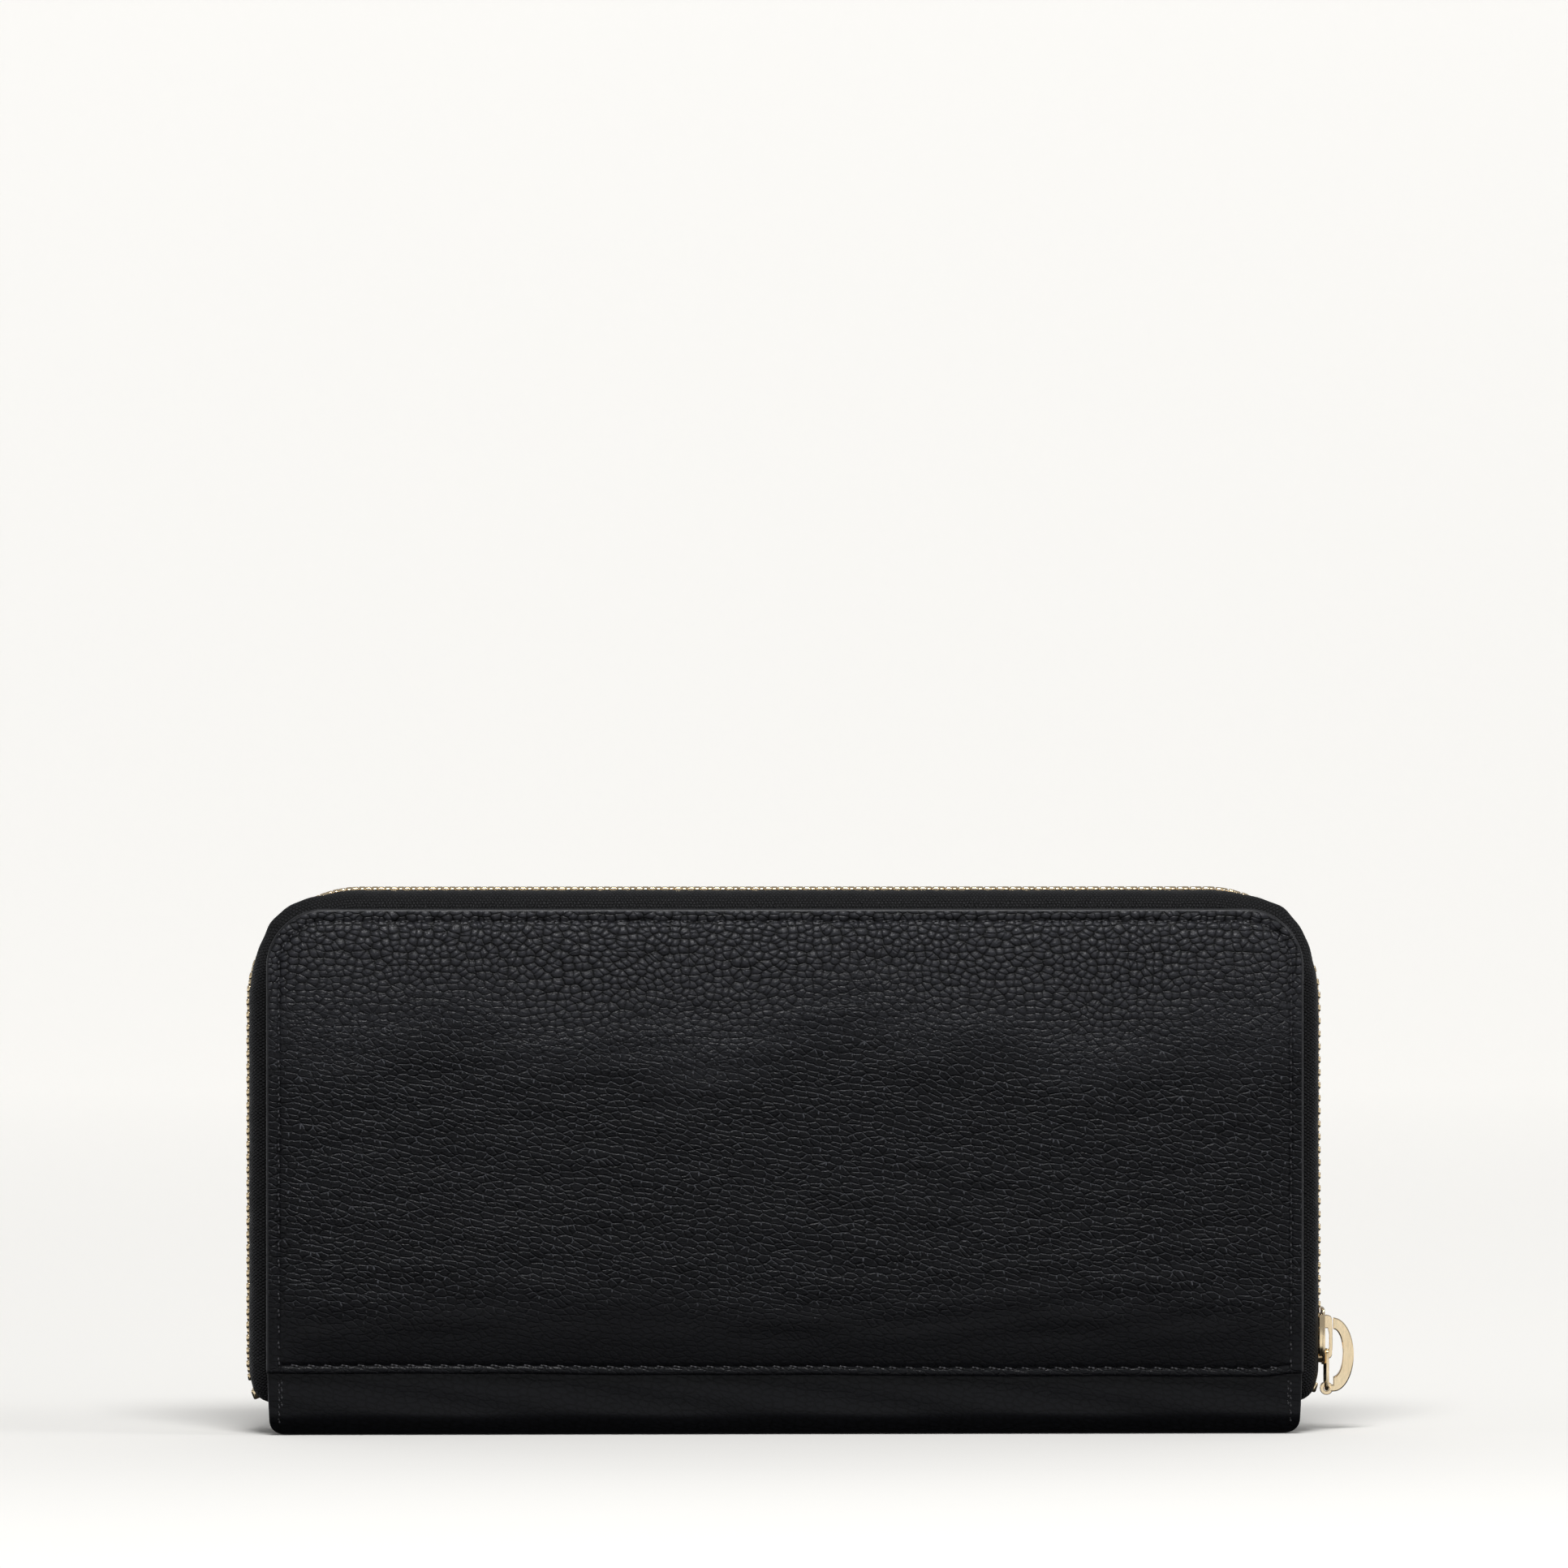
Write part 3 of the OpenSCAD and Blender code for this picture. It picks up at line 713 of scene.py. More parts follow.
def spaced(line, pitch):
    """Centres and headings of stitches every pitch along a line of points."""
    line = np.asarray(line, float)
    lengths = running_length(line)
    count = int(lengths[-1] / pitch)
    at = (np.arange(count) + 0.5) * lengths[-1] / count
    centres = np.stack([np.interp(at, lengths, line[:, k]) for k in range(line.shape[1])], 1)
    ahead = np.stack([np.interp(at + 0.2, lengths, line[:, k]) for k in range(line.shape[1])], 1)
    behind = np.stack([np.interp(at - 0.2, lengths, line[:, k]) for k in range(line.shape[1])], 1)
    return centres, ahead - behind


# ---- Cover panels --------------------------------------------------------------------


def edge_distance(x, z):
    """Distance in from the cover's left, top or right edge."""
    qx = np.abs(x) - (HALF_W - COVER_R)
    qz = z - (TOP_Z - COVER_R)
    straight = np.minimum(HALF_W - np.abs(x), TOP_Z - z)
    return np.where((qx > 0) & (qz > 0), COVER_R - np.hypot(qx, qz), straight)


def seam_lift(x):
    """The panel's lower edge isn't quite level: it wavers, drops a little towards the right and
    rides up at that end."""
    waver = 0.07 * np.sin(x / 9.7 + 1.1) + 0.04 * np.sin(x / 4.1)
    return waver - 0.15 - 0.5 * x / HALF_W + 0.75 * smoothstep(86, 93, x)


def quarter_round(distance, radius):
    """How far a rounded edge has fallen, at a distance in from it."""
    return radius * (1 - np.sqrt(1 - np.clip(1 - distance / radius, 0, 1) ** 2))


def body_waves(x, z, side):
    """Slow waves and flat creases of the leather over its padding."""
    rng = np.random.RandomState(20 + side)
    total = np.zeros_like(x)
    for _ in range(12):
        across, up = rng.uniform(18, 70), rng.uniform(5, 16)
        phase, tilt = rng.uniform(0, 6.28), rng.choice([-1, 1])
        total += np.sin(2 * math.pi * (x / across + tilt * z / up) + phase) * rng.uniform(0.4, 1)
    return total * 0.022


def panel_depth(x, z, side):
    """Distance of the leather's outer face from the middle plane."""
    d = edge_distance(x, z)
    up = z - SEAM_Z - STITCH_ROW
    inside = np.clip(d - STITCH_IN, 0, None)
    crown = 0.95 * (1 - np.exp(-inside / 3.4)) * (1 - np.exp(-np.clip(up, 0, None) / 5.5))
    side_groove = 0.34 * np.exp(-(((d - STITCH_IN) / 0.36) ** 2))
    row_groove = 0.17 * np.exp(-((up / 0.36) ** 2))
    row_groove = row_groove * smoothstep(STITCH_IN - 0.2, STITCH_IN + 0.2, d)
    roll = 0.13 * np.exp(-(((d - 1.1) / 0.6) ** 2))
    fall = quarter_round(d, 0.62) + quarter_round(z - SEAM_Z, 0.5)
    waves = body_waves(x, z, side) * smoothstep(3, 9, d) * smoothstep(2, 8, up)
    return FACE_Y + crown + roll + waves - side_groove - row_groove - fall


def panel_rows():
    """Heights of the rows of the panel's inner grid, close together over the lower seam."""
    low = [0, 0.04, 0.12, 0.25, 0.45, 0.75, 1.05, 1.25, 1.4, 1.5, 1.6, 1.75, 2.0, 2.4, 3.0, 3.8]
    low = SEAM_Z + np.array(low)
    bend_z = TOP_Z - COVER_R
    middle = np.linspace(low[-1], bend_z, 86)[1:]
    turns = np.radians(np.linspace(0, 90, 15)[1:])
    return low, middle, turns, bend_z


def cover_panel(side, label):
    """The padded leather panel with its painted, layered edge and pressed stitch lines."""
    inset = 4.0
    inner_r = COVER_R - inset
    low, middle, turns, bend_z = panel_rows()
    rows_z = np.concatenate([low, middle, bend_z + inner_r * np.sin(turns)])
    half = np.concatenate(
        [
            np.full(len(low) + len(middle), HALF_W - inset),
            HALF_W - COVER_R + inner_r * np.cos(turns),
        ]
    )
    turn = np.concatenate([np.zeros(len(low) + len(middle)), turns])
    cols = 191
    u = np.linspace(-1, 1, cols)
    gx = half[:, None] * u[None, :]
    gz = np.repeat(rows_z[:, None], cols, 1)
    rows = len(rows_z)
    # Chain of the grid's open border: up the left side, across the top, down the right side
    left = [r * cols for r in range(rows)]
    top = [(rows - 1) * cols + c for c in range(1, cols - 1)]
    right = [r * cols + cols - 1 for r in reversed(range(rows))]
    chain = np.array(left + top + right)
    nx = np.concatenate([-np.cos(turn), np.zeros(len(top)), np.cos(turn)[::-1]])
    nz = np.concatenate([np.sin(turn), np.ones(len(top)), np.sin(turn)[::-1]])
    cx, cz = gx.ravel()[chain], gz.ravel()[chain]
    insets = [3.5, 3.1, 2.85, 2.65, 2.5, 2.3, 2.1, 1.95, 1.75, 1.5, 1.2]
    insets += [0.9, 0.6, 0.4, 0.22, 0.1, 0.03, 0]
    xs, zs = [gx.ravel()], [gz.ravel()]
    for d in insets:
        xs.append(cx + nx * (inset - d))
        zs.append(cz + nz * (inset - d))
    x, z = np.concatenate(xs), np.concatenate(zs)
    depth = panel_depth(x, z, side)
    # The edge's wall: leather, a fine joint line, then the backing layer, and in behind it
    wall = [(0.0, 11.3), (0.05, 11.1), (0.16, 10.98), (0.16, 10.92), (0.03, 10.8)]
    wall += [(0.0, 10.5), (0.02, 10.15), (0.16, 9.95), (0.5, 9.87), (2.6, 9.87), (2.7, INNER_Y)]
    above_wrap = smoothstep(WRAP_TOP, WRAP_TOP + 0.8, cz)
    points_x, points_z, points_y = [x], [z], [depth]
    for d, y in wall:
        points_x.append(cx + nx * (inset - d))
        points_z.append(cz + nz * (inset - d))
        points_y.append(np.where(y < INNER_Y, INNER_Y + (y - INNER_Y) * above_wrap, y))
    faces = grid_faces(rows, cols)
    painted = [0] * len(faces)
    count = len(chain)
    rim_from = rows * cols
    rim = [chain]
    rim += [rim_from + k * count + np.arange(count) for k in range(len(insets) + len(wall))]
    edge_from = len(insets) - 4
    for k in range(len(rim) - 1):
        a, b = rim[k], rim[k + 1]
        faces += [(int(a[i]), int(a[i + 1]), int(b[i + 1]), int(b[i])) for i in range(count - 1)]
        painted += [1 if edge_from <= k < len(rim) - 3 else 0] * (count - 1)
    # Lower edge: straight back to the spine leather, then one face over the whole back
    lower = [int(r[0]) for r in reversed(rim[: len(insets) + 1])][:-1]
    lower += list(range(cols))
    lower += [int(r[-1]) for r in rim[1 : len(insets) + 1]]
    x = np.concatenate(points_x)
    z = np.concatenate(points_z)
    y = np.concatenate(points_y)
    base = len(x)
    x = np.concatenate([x, x[lower]])
    z = np.concatenate([z, z[lower]])
    y = np.concatenate([y, np.full(len(lower), INNER_Y)])
    for i in range(len(lower) - 1):
        faces.append((lower[i], lower[i + 1], base + i + 1, base + i))
        painted.append(1)
    back = [int(i) for i in rim[-1]] + [base + len(lower) - 1 - i for i in range(len(lower))]
    faces.append(tuple(back))
    painted.append(0)
    z = z + seam_lift(x) * (1 - smoothstep(SEAM_Z + 2, SEAM_Z + 9, z))
    d = edge_distance(x, z)
    mottle = 0.22 * np.sin(x / 13.0 + z / 21.0) + 0.15 * np.sin(x / 5.3 - z / 7.9)
    # Upper zone: round pebbles there, and the leather's colour is painted lighter there as a
    # highlight from the light above.
    round_and_lit_share = np.clip(smoothstep(62, 88, z + 14 * mottle), 0, 1)
    grain = (0.25 + 0.75 * smoothstep(15, 32, z + 5 * mottle)) * (0.8 + 0.2 * smoothstep(2, 5, d))
    grain = np.maximum(grain, 0.5 * (1 - smoothstep(1.2, 1.9, z - SEAM_Z)))
    panel = piece(
        f"{label}_panel",
        np.stack([x, side * y, z], 1),
        faces,
        [LEATHER, EDGE],
        "leather",
        f"{label}_cover",
        painted,
        np.stack([x + 200 * side, z], 1),
        round=round_and_lit_share,
        grain=grain,
    )
    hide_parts(f"{label}_leather", f"{label}_padding")
    return panel


def cover_stitching(side, label):
    """Thread along the sides and top, and along the seam above the spine leather."""
    w = HALF_W - STITCH_IN
    t = TOP_Z - STITCH_IN
    r = COVER_R - STITCH_IN
    low = SEAM_Z + 0.6
    a = np.radians(np.linspace(0, 90, 20))
    right = np.stack([w - r + r * np.cos(a), t - r + r * np.sin(a)], 1)
    line = np.concatenate([[[w, low]], right, (right * [-1, 1])[::-1], [[-w, low]]])
    centres, headings = spaced(line, STITCH_PITCH)
    row = np.stack([np.linspace(-w + 1.5, w - 1.5, 200), np.full(200, SEAM_Z + STITCH_ROW)], 1)
    row_centres, row_headings = spaced(row, STITCH_PITCH)
    x, z = np.concatenate([centres, row_centres]).T
    hx, hz = np.concatenate([headings, row_headings]).T
    depth = panel_depth(x, z, side) - 0.02
    lift = seam_lift(x) * (1 - smoothstep(SEAM_Z + 2, SEAM_Z + 9, z))
    places = np.stack([x, side * depth, z + lift], 1)
    flat = np.tile([0.0, side, 0.0], (len(x), 1))
    ahead = np.stack([hx, np.zeros_like(hx), hz], 1)
    count = len(centres)
    frames = stitch_frames(places[:count], ahead[:count], flat[:count])
    frames += stitch_frames(places[count:], ahead[count:], flat[count:], -12)
    thread_piece = stitching(f"{label}_stitching", frames, STITCH_PITCH * 0.86, "leather", 0.19)
    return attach(thread_piece, f"{label}_cover")


# ---- Spine leather -------------------------------------------------------------------


def wrap_profile():
    """Outer line of half the spine leather, as (distance from the middle plane, height)."""
    turns = np.radians(np.linspace(0, 90, 11))
    floor = [[y, 0.0] for y in np.linspace(0, WRAP_Y - WRAP_R, 8)[:-1]]
    bend_line = [
        [WRAP_Y - WRAP_R + WRAP_R * math.sin(t), WRAP_R - WRAP_R * math.cos(t)] for t in turns
    ]
    wall = [[WRAP_Y, z] for z in np.linspace(WRAP_R, WRAP_TOP, 16)[1:]]
    return np.array(floor + bend_line + wall)


def wrap_half_width(z):
    """Half the spine leather's length at a height: rounded lower corners, slightly waisted."""
    r = 2.5
    corner = np.where(z < r, r - np.sqrt(np.clip(r * r - (r - z) ** 2, 0, None)), 0)
    return WRAP_HALF_W - 0.35 * (1 - smoothstep(0, 11, z)) - corner


def spine_leather(side, label):
    """One half of the leather that wraps the spine."""
    outer = wrap_profile()
    direction = np.gradient(outer, axis=0)
    direction /= np.linalg.norm(direction, axis=1)[:, None]
    inward = np.stack([-direction[:, 1], direction[:, 0]], 1)
    cols = 171
    ease = np.linspace(-1, 1, cols)
    u = np.sin(ease * math.pi / 2) * 0.12 + ease * 0.88
    length = running_length(outer)
    # Across the leather's thickness at each end: a rounded, painted bead
    bead = [(0.0, 0.0), (0.14, 0.06), (0.2, 0.3), (0.2, 0.7), (0.14, 0.94), (0.0, 1.0)]
    points, uv, rows = [], [], []
    for (y, z), n, run in zip(outer, inward, length):
        half = wrap_half_width(z)
        across = [(x * half, 0.0) for x in u]
        across += [(half + out, share) for out, share in bead[1:-1]]
        across += [(x * half, 1.0) for x in u[::-1]]
        across += [(-half - out, share) for out, share in bead[-2:0:-1]]
        rows.append(len(across))
        for x, share in across:
            wave = 0.05 * math.sin(x / 6.1 + run) * (1 if share == 0 and z < 10 else 0)
            out_y = y + n[0] * WRAP_T * share - wave * n[0]
            points.append([x, side * out_y, z + n[1] * WRAP_T * share])
            uv.append([x + 300 * side, run])
    ring = rows[0]
    faces = grid_faces(len(outer), ring, closed=True)
    face, end = [0] * (cols - 1), [1] * (len(bead) - 1)
    painted = (face + end + face + end) * (len(outer) - 1)
    faces += [tuple(range(ring)), tuple(range((len(outer) - 1) * ring, len(outer) * ring))]
    painted += [0, 0]
    flat_z = np.array(points)[:, 2]
    wrap = piece(
        f"spine_leather_{label}",
        points,
        faces,
        [BAND_LEATHER, EDGE],
        "leather",
        painted=painted,
        uv=uv,
        round=np.zeros(len(points)),
        grain=0.3 + 0.2 * smoothstep(3, 11, flat_z),
    )
    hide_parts("spine_wrap")
    return bend(wrap)


def spine_stitching(side, label):
    """The side stitching carried on down over the spine leather, with a doubled back-tack."""
    frames = []
    x0 = HALF_W - STITCH_IN
    for sx in (-1, 1):
        line = np.array([[sx * x0, z] for z in np.linspace(SEAM_Z - 1, 2.0, 20)])
        centres, headings = spaced(line, 1.25)
        doubled = centres[:4] + np.array([sx * -0.45, 0.4])
        centres = np.concatenate([centres, doubled])
        headings = np.concatenate([headings, headings[:4]])
        for (x, z), (hx, hz) in zip(centres, headings):
            fall = max(WRAP_R - z, 0)
            depth = WRAP_Y - (WRAP_R - math.sqrt(WRAP_R**2 - fall**2))
            slope = fall / WRAP_R
            normal = (0, side * math.sqrt(1 - slope**2), -slope)
            frames += stitch_frames([(x, side * depth, z)], [(hx, 0, hz)], [normal], 16)
    row = stitching(f"spine_stitching_{label}", frames, 1.15, "leather", 0.15)
    return bend(row)


# ---- Inside --------------------------------------------------------------------------


def card_slot(side, label, number):
    """One strip of card slots: a folded top edge, flat seams at the sides and middle, and a
    slight belly where each pair of cards sits."""
    node = f"{label}_card_slot_{number}"
    low, high = box_mm(node)
    near, far = sorted((abs(low[1]), abs(high[1])))
    half, bottom, top = high[0], low[2], high[2]
    cols, steps = 121, 14
    u = np.linspace(-1, 1, cols)
    fold_z = top - np.array([1.6, 0.9, 0.4, 0.12, 0])
    heights = np.concatenate([np.linspace(bottom, top - 2.4, steps), fold_z])
    x = np.repeat((u * half)[None, :], len(heights), 0)
    z = np.repeat(heights[:, None], cols, 1)
    seam = np.minimum(np.abs(x), half - np.abs(x))
    dip = 0.5 * smoothstep(0, 26, seam) * smoothstep(0, 30, z - bottom)
    z = z - dip * smoothstep(top - 8, top, z)
    belly = 0.035 * smoothstep(0, 9, seam)
    fold = 0.04 * np.exp(-(((heights[:, None] - (top - 1.3)) / 0.25) ** 2))
    past = np.clip(1 - (top - heights[:, None]) / 0.3, 0, 1)
    round_off = 0.2 * (1 - np.sqrt(np.clip(1 - past**2, 0, 1)))
    inner = near + 0.04 + fold + round_off - belly
    outer = np.full_like(x, far) - round_off
    a = np.stack([x, side * inner, z], 2).reshape(-1, 3)
    b = np.stack([x, side * outer, z], 2).reshape(-1, 3)
    count, rows = len(a), len(heights)
    faces = grid_faces(rows, cols) + grid_faces(rows, cols, count)
    border = list(range(cols)) + [r * cols + cols - 1 for r in range(1, rows)]
    border += [(rows - 1) * cols + c for c in range(cols - 2, -1, -1)]
    border += [r * cols for r in range(rows - 2, 0, -1)]
    for i, j in zip(border, border[1:] + border[:1]):
        faces.append((i, j, count + j, count + i))
    uv = np.concatenate([a[:, [0, 2]], b[:, [0, 2]]]) + [400 * side + 20 * number, 0]
    size = 2 * count
    strip = piece(
        f"{label}_slot_{number}",
        np.concatenate([a, b]),
        faces,
        [BAND_LEATHER],
        "leather",
        f"{label}_cover",
        uv=uv,
        round=np.full(size, 0.15),
        grain=np.full(size, 0.7),
    )
    crisp(strip, 60)
    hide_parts(node)
    next_top = box_mm(f"{label}_card_slot_{number + 1}")[1][2] if number < 3 else bottom
    frames = []
    for sx in (-half + 1.8, 0.0, half - 1.8):
        line = np.array([[sx, z0] for z0 in np.linspace(top - 0.8, next_top + 0.4, 12)])
        centres, headings = spaced(line, 2.4)
        depth = near + 0.02
        places = [(cx, side * depth, cz) for cx, cz in centres]
        ahead = [(hx, 0, hz) for hx, hz in headings]
        frames += stitch_frames(places, ahead, [(0, -side, 0)] * len(places))
    thread_piece = stitching(f"{label}_slot_{number}_stitching", frames, 2.0, "leather", 0.18)
    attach(thread_piece, f"{label}_cover")


def gusset(side, label, end, end_label):
    """A folded sheet between the pocket and a cover."""
    node = f"{label}_{end_label}_gusset"
    low, high = box_mm(node)
    out_x = max(abs(low[0]), abs(high[0])) - 0.2
    line = [
        [out_x, 8.9],
        [out_x - 1.5, 7.1],
        [out_x - 13.7, 6.2],
        [out_x - 13.7, 5.0],
        [out_x - 2.8, 3.5],
    ]
    outer, inner = band_sides(rounded_line(line, 3), 0.42)
    ring = np.concatenate([outer, inner[::-1]])
    middle = np.linspace(low[2] + 4, high[2] - 1, 12)
    heights = np.concatenate([[low[2], low[2] + 0.3], middle, [high[2] - 0.3, high[2]]])
    flat = ring * [end, side]
    rings = [np.concatenate([flat, np.full((len(flat), 1), z)], 1) for z in heights]
    points, faces = ring_solid(rings)
    sheet = piece(f"{label}_{end_label}_fold", points, faces, [LINING], "lining")
    crisp(sheet, 50)
    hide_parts(node)
    start, end = (0, side * 3.6 * MM, 0), (0, side * 8.8 * MM, 0)
    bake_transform(sheet)


def straight_tape(side, label):
    """One tape of the coin pocket's zip."""
    low, high = box_mm(f"coin_zip_{label}_tape")
    top = high[2] - 0.2
    line = [[2.35, low[2]], [2.35, top - 1.2], [2.1, top - 0.35], [1.4, top], [0.72, top]]
    outer, inner = band_sides(rounded_line(line, 2), 0.38)
    profile = np.concatenate([outer, inner[::-1]])
    xs = np.linspace(low[0], high[0], 130)
    rings = [
        np.stack([np.full(len(profile), x), side * profile[:, 0], profile[:, 1]], 1) for x in xs
    ]
    points, faces = ring_solid(rings)
    run = running_length(profile)
    uv = np.stack([np.repeat(xs, len(profile)), np.tile(run, len(xs))], 1)
    tape = piece(f"coin_tape_{label}", points, faces, [TAPE], "zip_tape", "base", uv=uv)
    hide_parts(f"coin_zip_{label}_tape")


def coin_row(side, label):
    """One row of the coin zip's teeth."""
    node = f"coin_zip_{label}_teeth"
    low, high = box_mm(node)
    half_t = (high[2] - low[2]) / 2
    solid = tooth_solid(0.55, 0.36, 2.0, 0.48, half_t)
    xs = np.arange(low[0] + 0.55, high[0], 2.0)
    frames = [((x, 0, low[2] + half_t), (1, 0, 0), (0, side, 0), (0, 0, 1)) for x in xs]
    points, faces = copies(*solid, frames)
    row = piece(f"coin_teeth_{label}", points, faces, [GOLD], "gold_metal", "base")
    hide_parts(node)


def coin_stops():
    low, high = box_mm("coin_zip_stops")
    half_t = (high[2] - low[2]) / 2
    solid = tooth_solid(0.8, 0.7, 2.1, 0.1, half_t)
    frames = []
    for x in (low[0] + 0.8, high[0] - 0.8):
        for side in (FRONT, REAR):
            frames.append(((x, 0, low[2] + half_t), (1, 0, 0), (0, side, 0), (0, 0, 1)))
    points = solid[0] * np.array([1, 0.62, 1]) + np.array([0, 0.75, 0])
    points, faces = copies(points, solid[1], frames)
    stops = piece("coin_stops", points, faces, [GOLD], "gold_metal", "base")
    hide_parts("coin_zip_stops")


def coin_wall_stitching(side, label):
    """Thread under the folded top edge of each coin pocket wall."""
    low, high = box_mm(f"coin_pocket_{label}_wall")
    far = max(abs(low[1]), abs(high[1]))
    line = np.array([[x, high[2] - 2.0] for x in np.linspace(low[0] + 3, high[0] - 3, 60)])
    centres, headings = spaced(line, 2.6)
    places = [(x, side * far, z) for x, z in centres]
    ahead = [(hx, 0, hz) for hx, hz in headings]
    frames = stitch_frames(places, ahead, [(0, side, 0)] * len(places))
    row = stitching(f"coin_wall_stitching_{label}", frames, 2.2, "leather", 0.2)
    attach(row, "base")


# ---- Metal parts ---------------------------------------------------------------------


def outline_solid(outline, low, high, bevel=0.16, steps=3):
    """Points and faces of a plate cut to a 2-D outline, from low to high, with rounded edges."""
    outline = np.asarray(outline, float)
    ahead = np.roll(outline, -1, 0) - outline
    behind = outline - np.roll(outline, 1, 0)
    for edge in (ahead, behind):
        edge /= np.maximum(np.linalg.norm(edge, axis=1), 1e-9)[:, None]
    bisector = ahead + behind
    bisector /= np.maximum(np.linalg.norm(bisector, axis=1), 1e-9)[:, None]
    inward = np.stack([-bisector[:, 1], bisector[:, 0]], 1)
    reach = 1 / np.clip(np.sum(ahead * bisector, 1), 0.6, 1)
    x, y = outline.T
    if np.sum(x * np.roll(y, -1) - np.roll(x, -1) * y) < 0:
        inward = -inward
    levels = []
    for k in range(steps + 1):
        a = math.pi / 2 * k / steps
        levels.append((bevel * (1 - math.sin(a)), low + bevel * (1 - math.cos(a))))
    levels += [(inset, low + high - level) for inset, level in reversed(levels)]
    rings = []
    for inset, level in levels:
        flat = outline + inward * (inset * reach)[:, None]
        rings.append(np.concatenate([flat, np.full((len(flat), 1), level)], 1))
    return ring_solid(rings)


def metal(name, solids, body, nodes, degrees=12):
    """One metal piece made of several solids, in place of CAD nodes."""
    points, faces, base = [], [], 0
    for p, f in solids:
        points.append(p)
        faces += [tuple(base + i for i in face) for face in f]
        base += len(p)
    obj = piece(name, np.concatenate(points), faces, [GOLD], "gold_metal", body)
    crisp(obj, degrees)
    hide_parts(*nodes)
    return obj


def along_x(solid):
    """A solid drawn with its outline in (y, z) and its thickness along x."""
    p, f = solid
    return p[:, [2, 0, 1]], f


def along_y(solid):
    """A solid drawn with its outline in (x, z) and its thickness along y."""
    p, f = solid
    return p[:, [0, 2, 1]], f


def rounded_outline(points, rounds=2):
    """A closed outline with its corners cut smooth."""
    points = np.asarray(points, float)
    for _ in range(rounds):
        ahead = np.roll(points, -1, 0)
        cuts = [points * 0.75 + ahead * 0.25, points * 0.25 + ahead * 0.75]
        points = np.stack(cuts, 1).reshape(-1, 2)
    return points


def both_sides(half, flip):
    """A closed outline from one half of it, mirrored by flip."""
    half = np.array(half, float)
    return np.concatenate([half, (half * flip)[::-1]])


def wire(line, radius, sides=14, closed=False):
    """A round wire along a smooth line of points."""
    line = np.asarray(line, float)
    if closed:
        tangent = np.roll(line, -1, 0) - np.roll(line, 1, 0)
    else:
        tangent = np.gradient(line, axis=0)
    tangent /= np.linalg.norm(tangent, axis=1)[:, None]
    rings = []
    up = np.array([1.0, 0, 0])
    for p, t in zip(line, tangent):
        a = up - t * np.dot(up, t)
        a /= np.linalg.norm(a)
        b = np.cross(t, a)
        angles = np.arange(sides) * 2 * math.pi / sides
        rings.append(p + radius * (np.cos(angles)[:, None] * a + np.sin(angles)[:, None] * b))
    points = np.concatenate(rings)
    faces = grid_faces(len(rings), sides, closed=True)
    if closed:
        faces += closing_faces(sides, len(rings))
    else:
        faces += [tuple(range(sides)), tuple(range(len(points) - 1, len(points) - 1 - sides, -1))]
    return points, faces


def slider():
    """The main zip's slider: domed outer plate, under plate, folded lips and the wedge."""
    low, high = box_mm("zip_slider_body")
    w, z0, length = high[1], low[2], high[2] - low[2]
    plate_t, lip_h = 0.55, 0.55
    half = [[w - 1.5, 0], [w - 0.35, 0.9], [w, 2.4], [w, 6.3], [w - 0.7, length - 0.7]]
    shape = np.roll(both_sides(half + [[w - 1.9, length]], [-1, 1]), 1, 0)
    outline = rounded_outline(shape + [0, z0], 2)
    outer = along_x(outline_solid(outline, high[0] - plate_t, high[0], 0.17))
    under = along_x(outline_solid(outline, low[0], low[0] + plate_t, 0.17))
    solids = [outer, under]
    edge = w - 0.06
    lip_shape = [[w - 0.95, 1.4], [w - 0.15, 2.4], [edge, 2.8], [edge, 6.3]]
    lip_shape += [[w - 0.5, length - 1.2], [w - 0.95, length - 1.6]]
    for side in (FRONT, REAR):
        lip = rounded_outline(np.array(lip_shape) * [side, 1] + [0, z0], 1)
        solids.append(along_x(outline_solid(lip, high[0] - plate_t - lip_h, high[0] - 0.1, 0.08)))
        solids.append(along_x(outline_solid(lip, low[0] + 0.1, low[0] + plate_t + lip_h, 0.08)))
    wedge = [[-0.5, 0.3], [0.5, 0.3], [1.5, 1.5], [0.3, 3.2], [-0.3, 3.2], [-1.5, 1.5]]
    wedge = rounded_outline(np.array(wedge) + [0, z0], 1)
    solids.append(along_x(outline_solid(wedge, low[0] + 0.3, high[0] - 0.3, 0.05)))
    return metal("slider", solids, "zip_slider", ["zip_slider_body"])


def loop_solid(outer, inner, low, high, bevel):
    """A plate with a window: outer and inner outlines with the same number of points."""
    rings = []
    for k in range(4):
        a = math.pi / 2 * k / 3
        inset, level = bevel * (1 - math.sin(a)), low + bevel * (1 - math.cos(a))
        rings.append((inset, level))
    rings += [(i, low + high - level) for i, level in reversed(rings)]
    mid = (outer + inner) / 2
    span = np.linalg.norm(outer - inner, axis=1)[:, None]
    points, count = [], len(outer)
    for inset, level in rings:
        flat = outer + (mid - outer) / span * 2 * inset
        points.append(np.concatenate([flat, np.full((count, 1), level)], 1))
    for inset, level in reversed(rings):
        flat = inner + (mid - inner) / span * 2 * inset
        points.append(np.concatenate([flat, np.full((count, 1), level)], 1))
    faces = grid_faces(len(points), count, closed=True) + closing_faces(count, len(points))
    return np.concatenate(points), faces


def resampled(outline, count):
    """A closed outline as count points at even distances, starting from its first point."""
    line = np.concatenate([outline, outline[:1]])
    run = running_length(line)
    at = np.arange(count) * run[-1] / count
    return np.stack([np.interp(at, run, line[:, 0]), np.interp(at, run, line[:, 1])], 1)


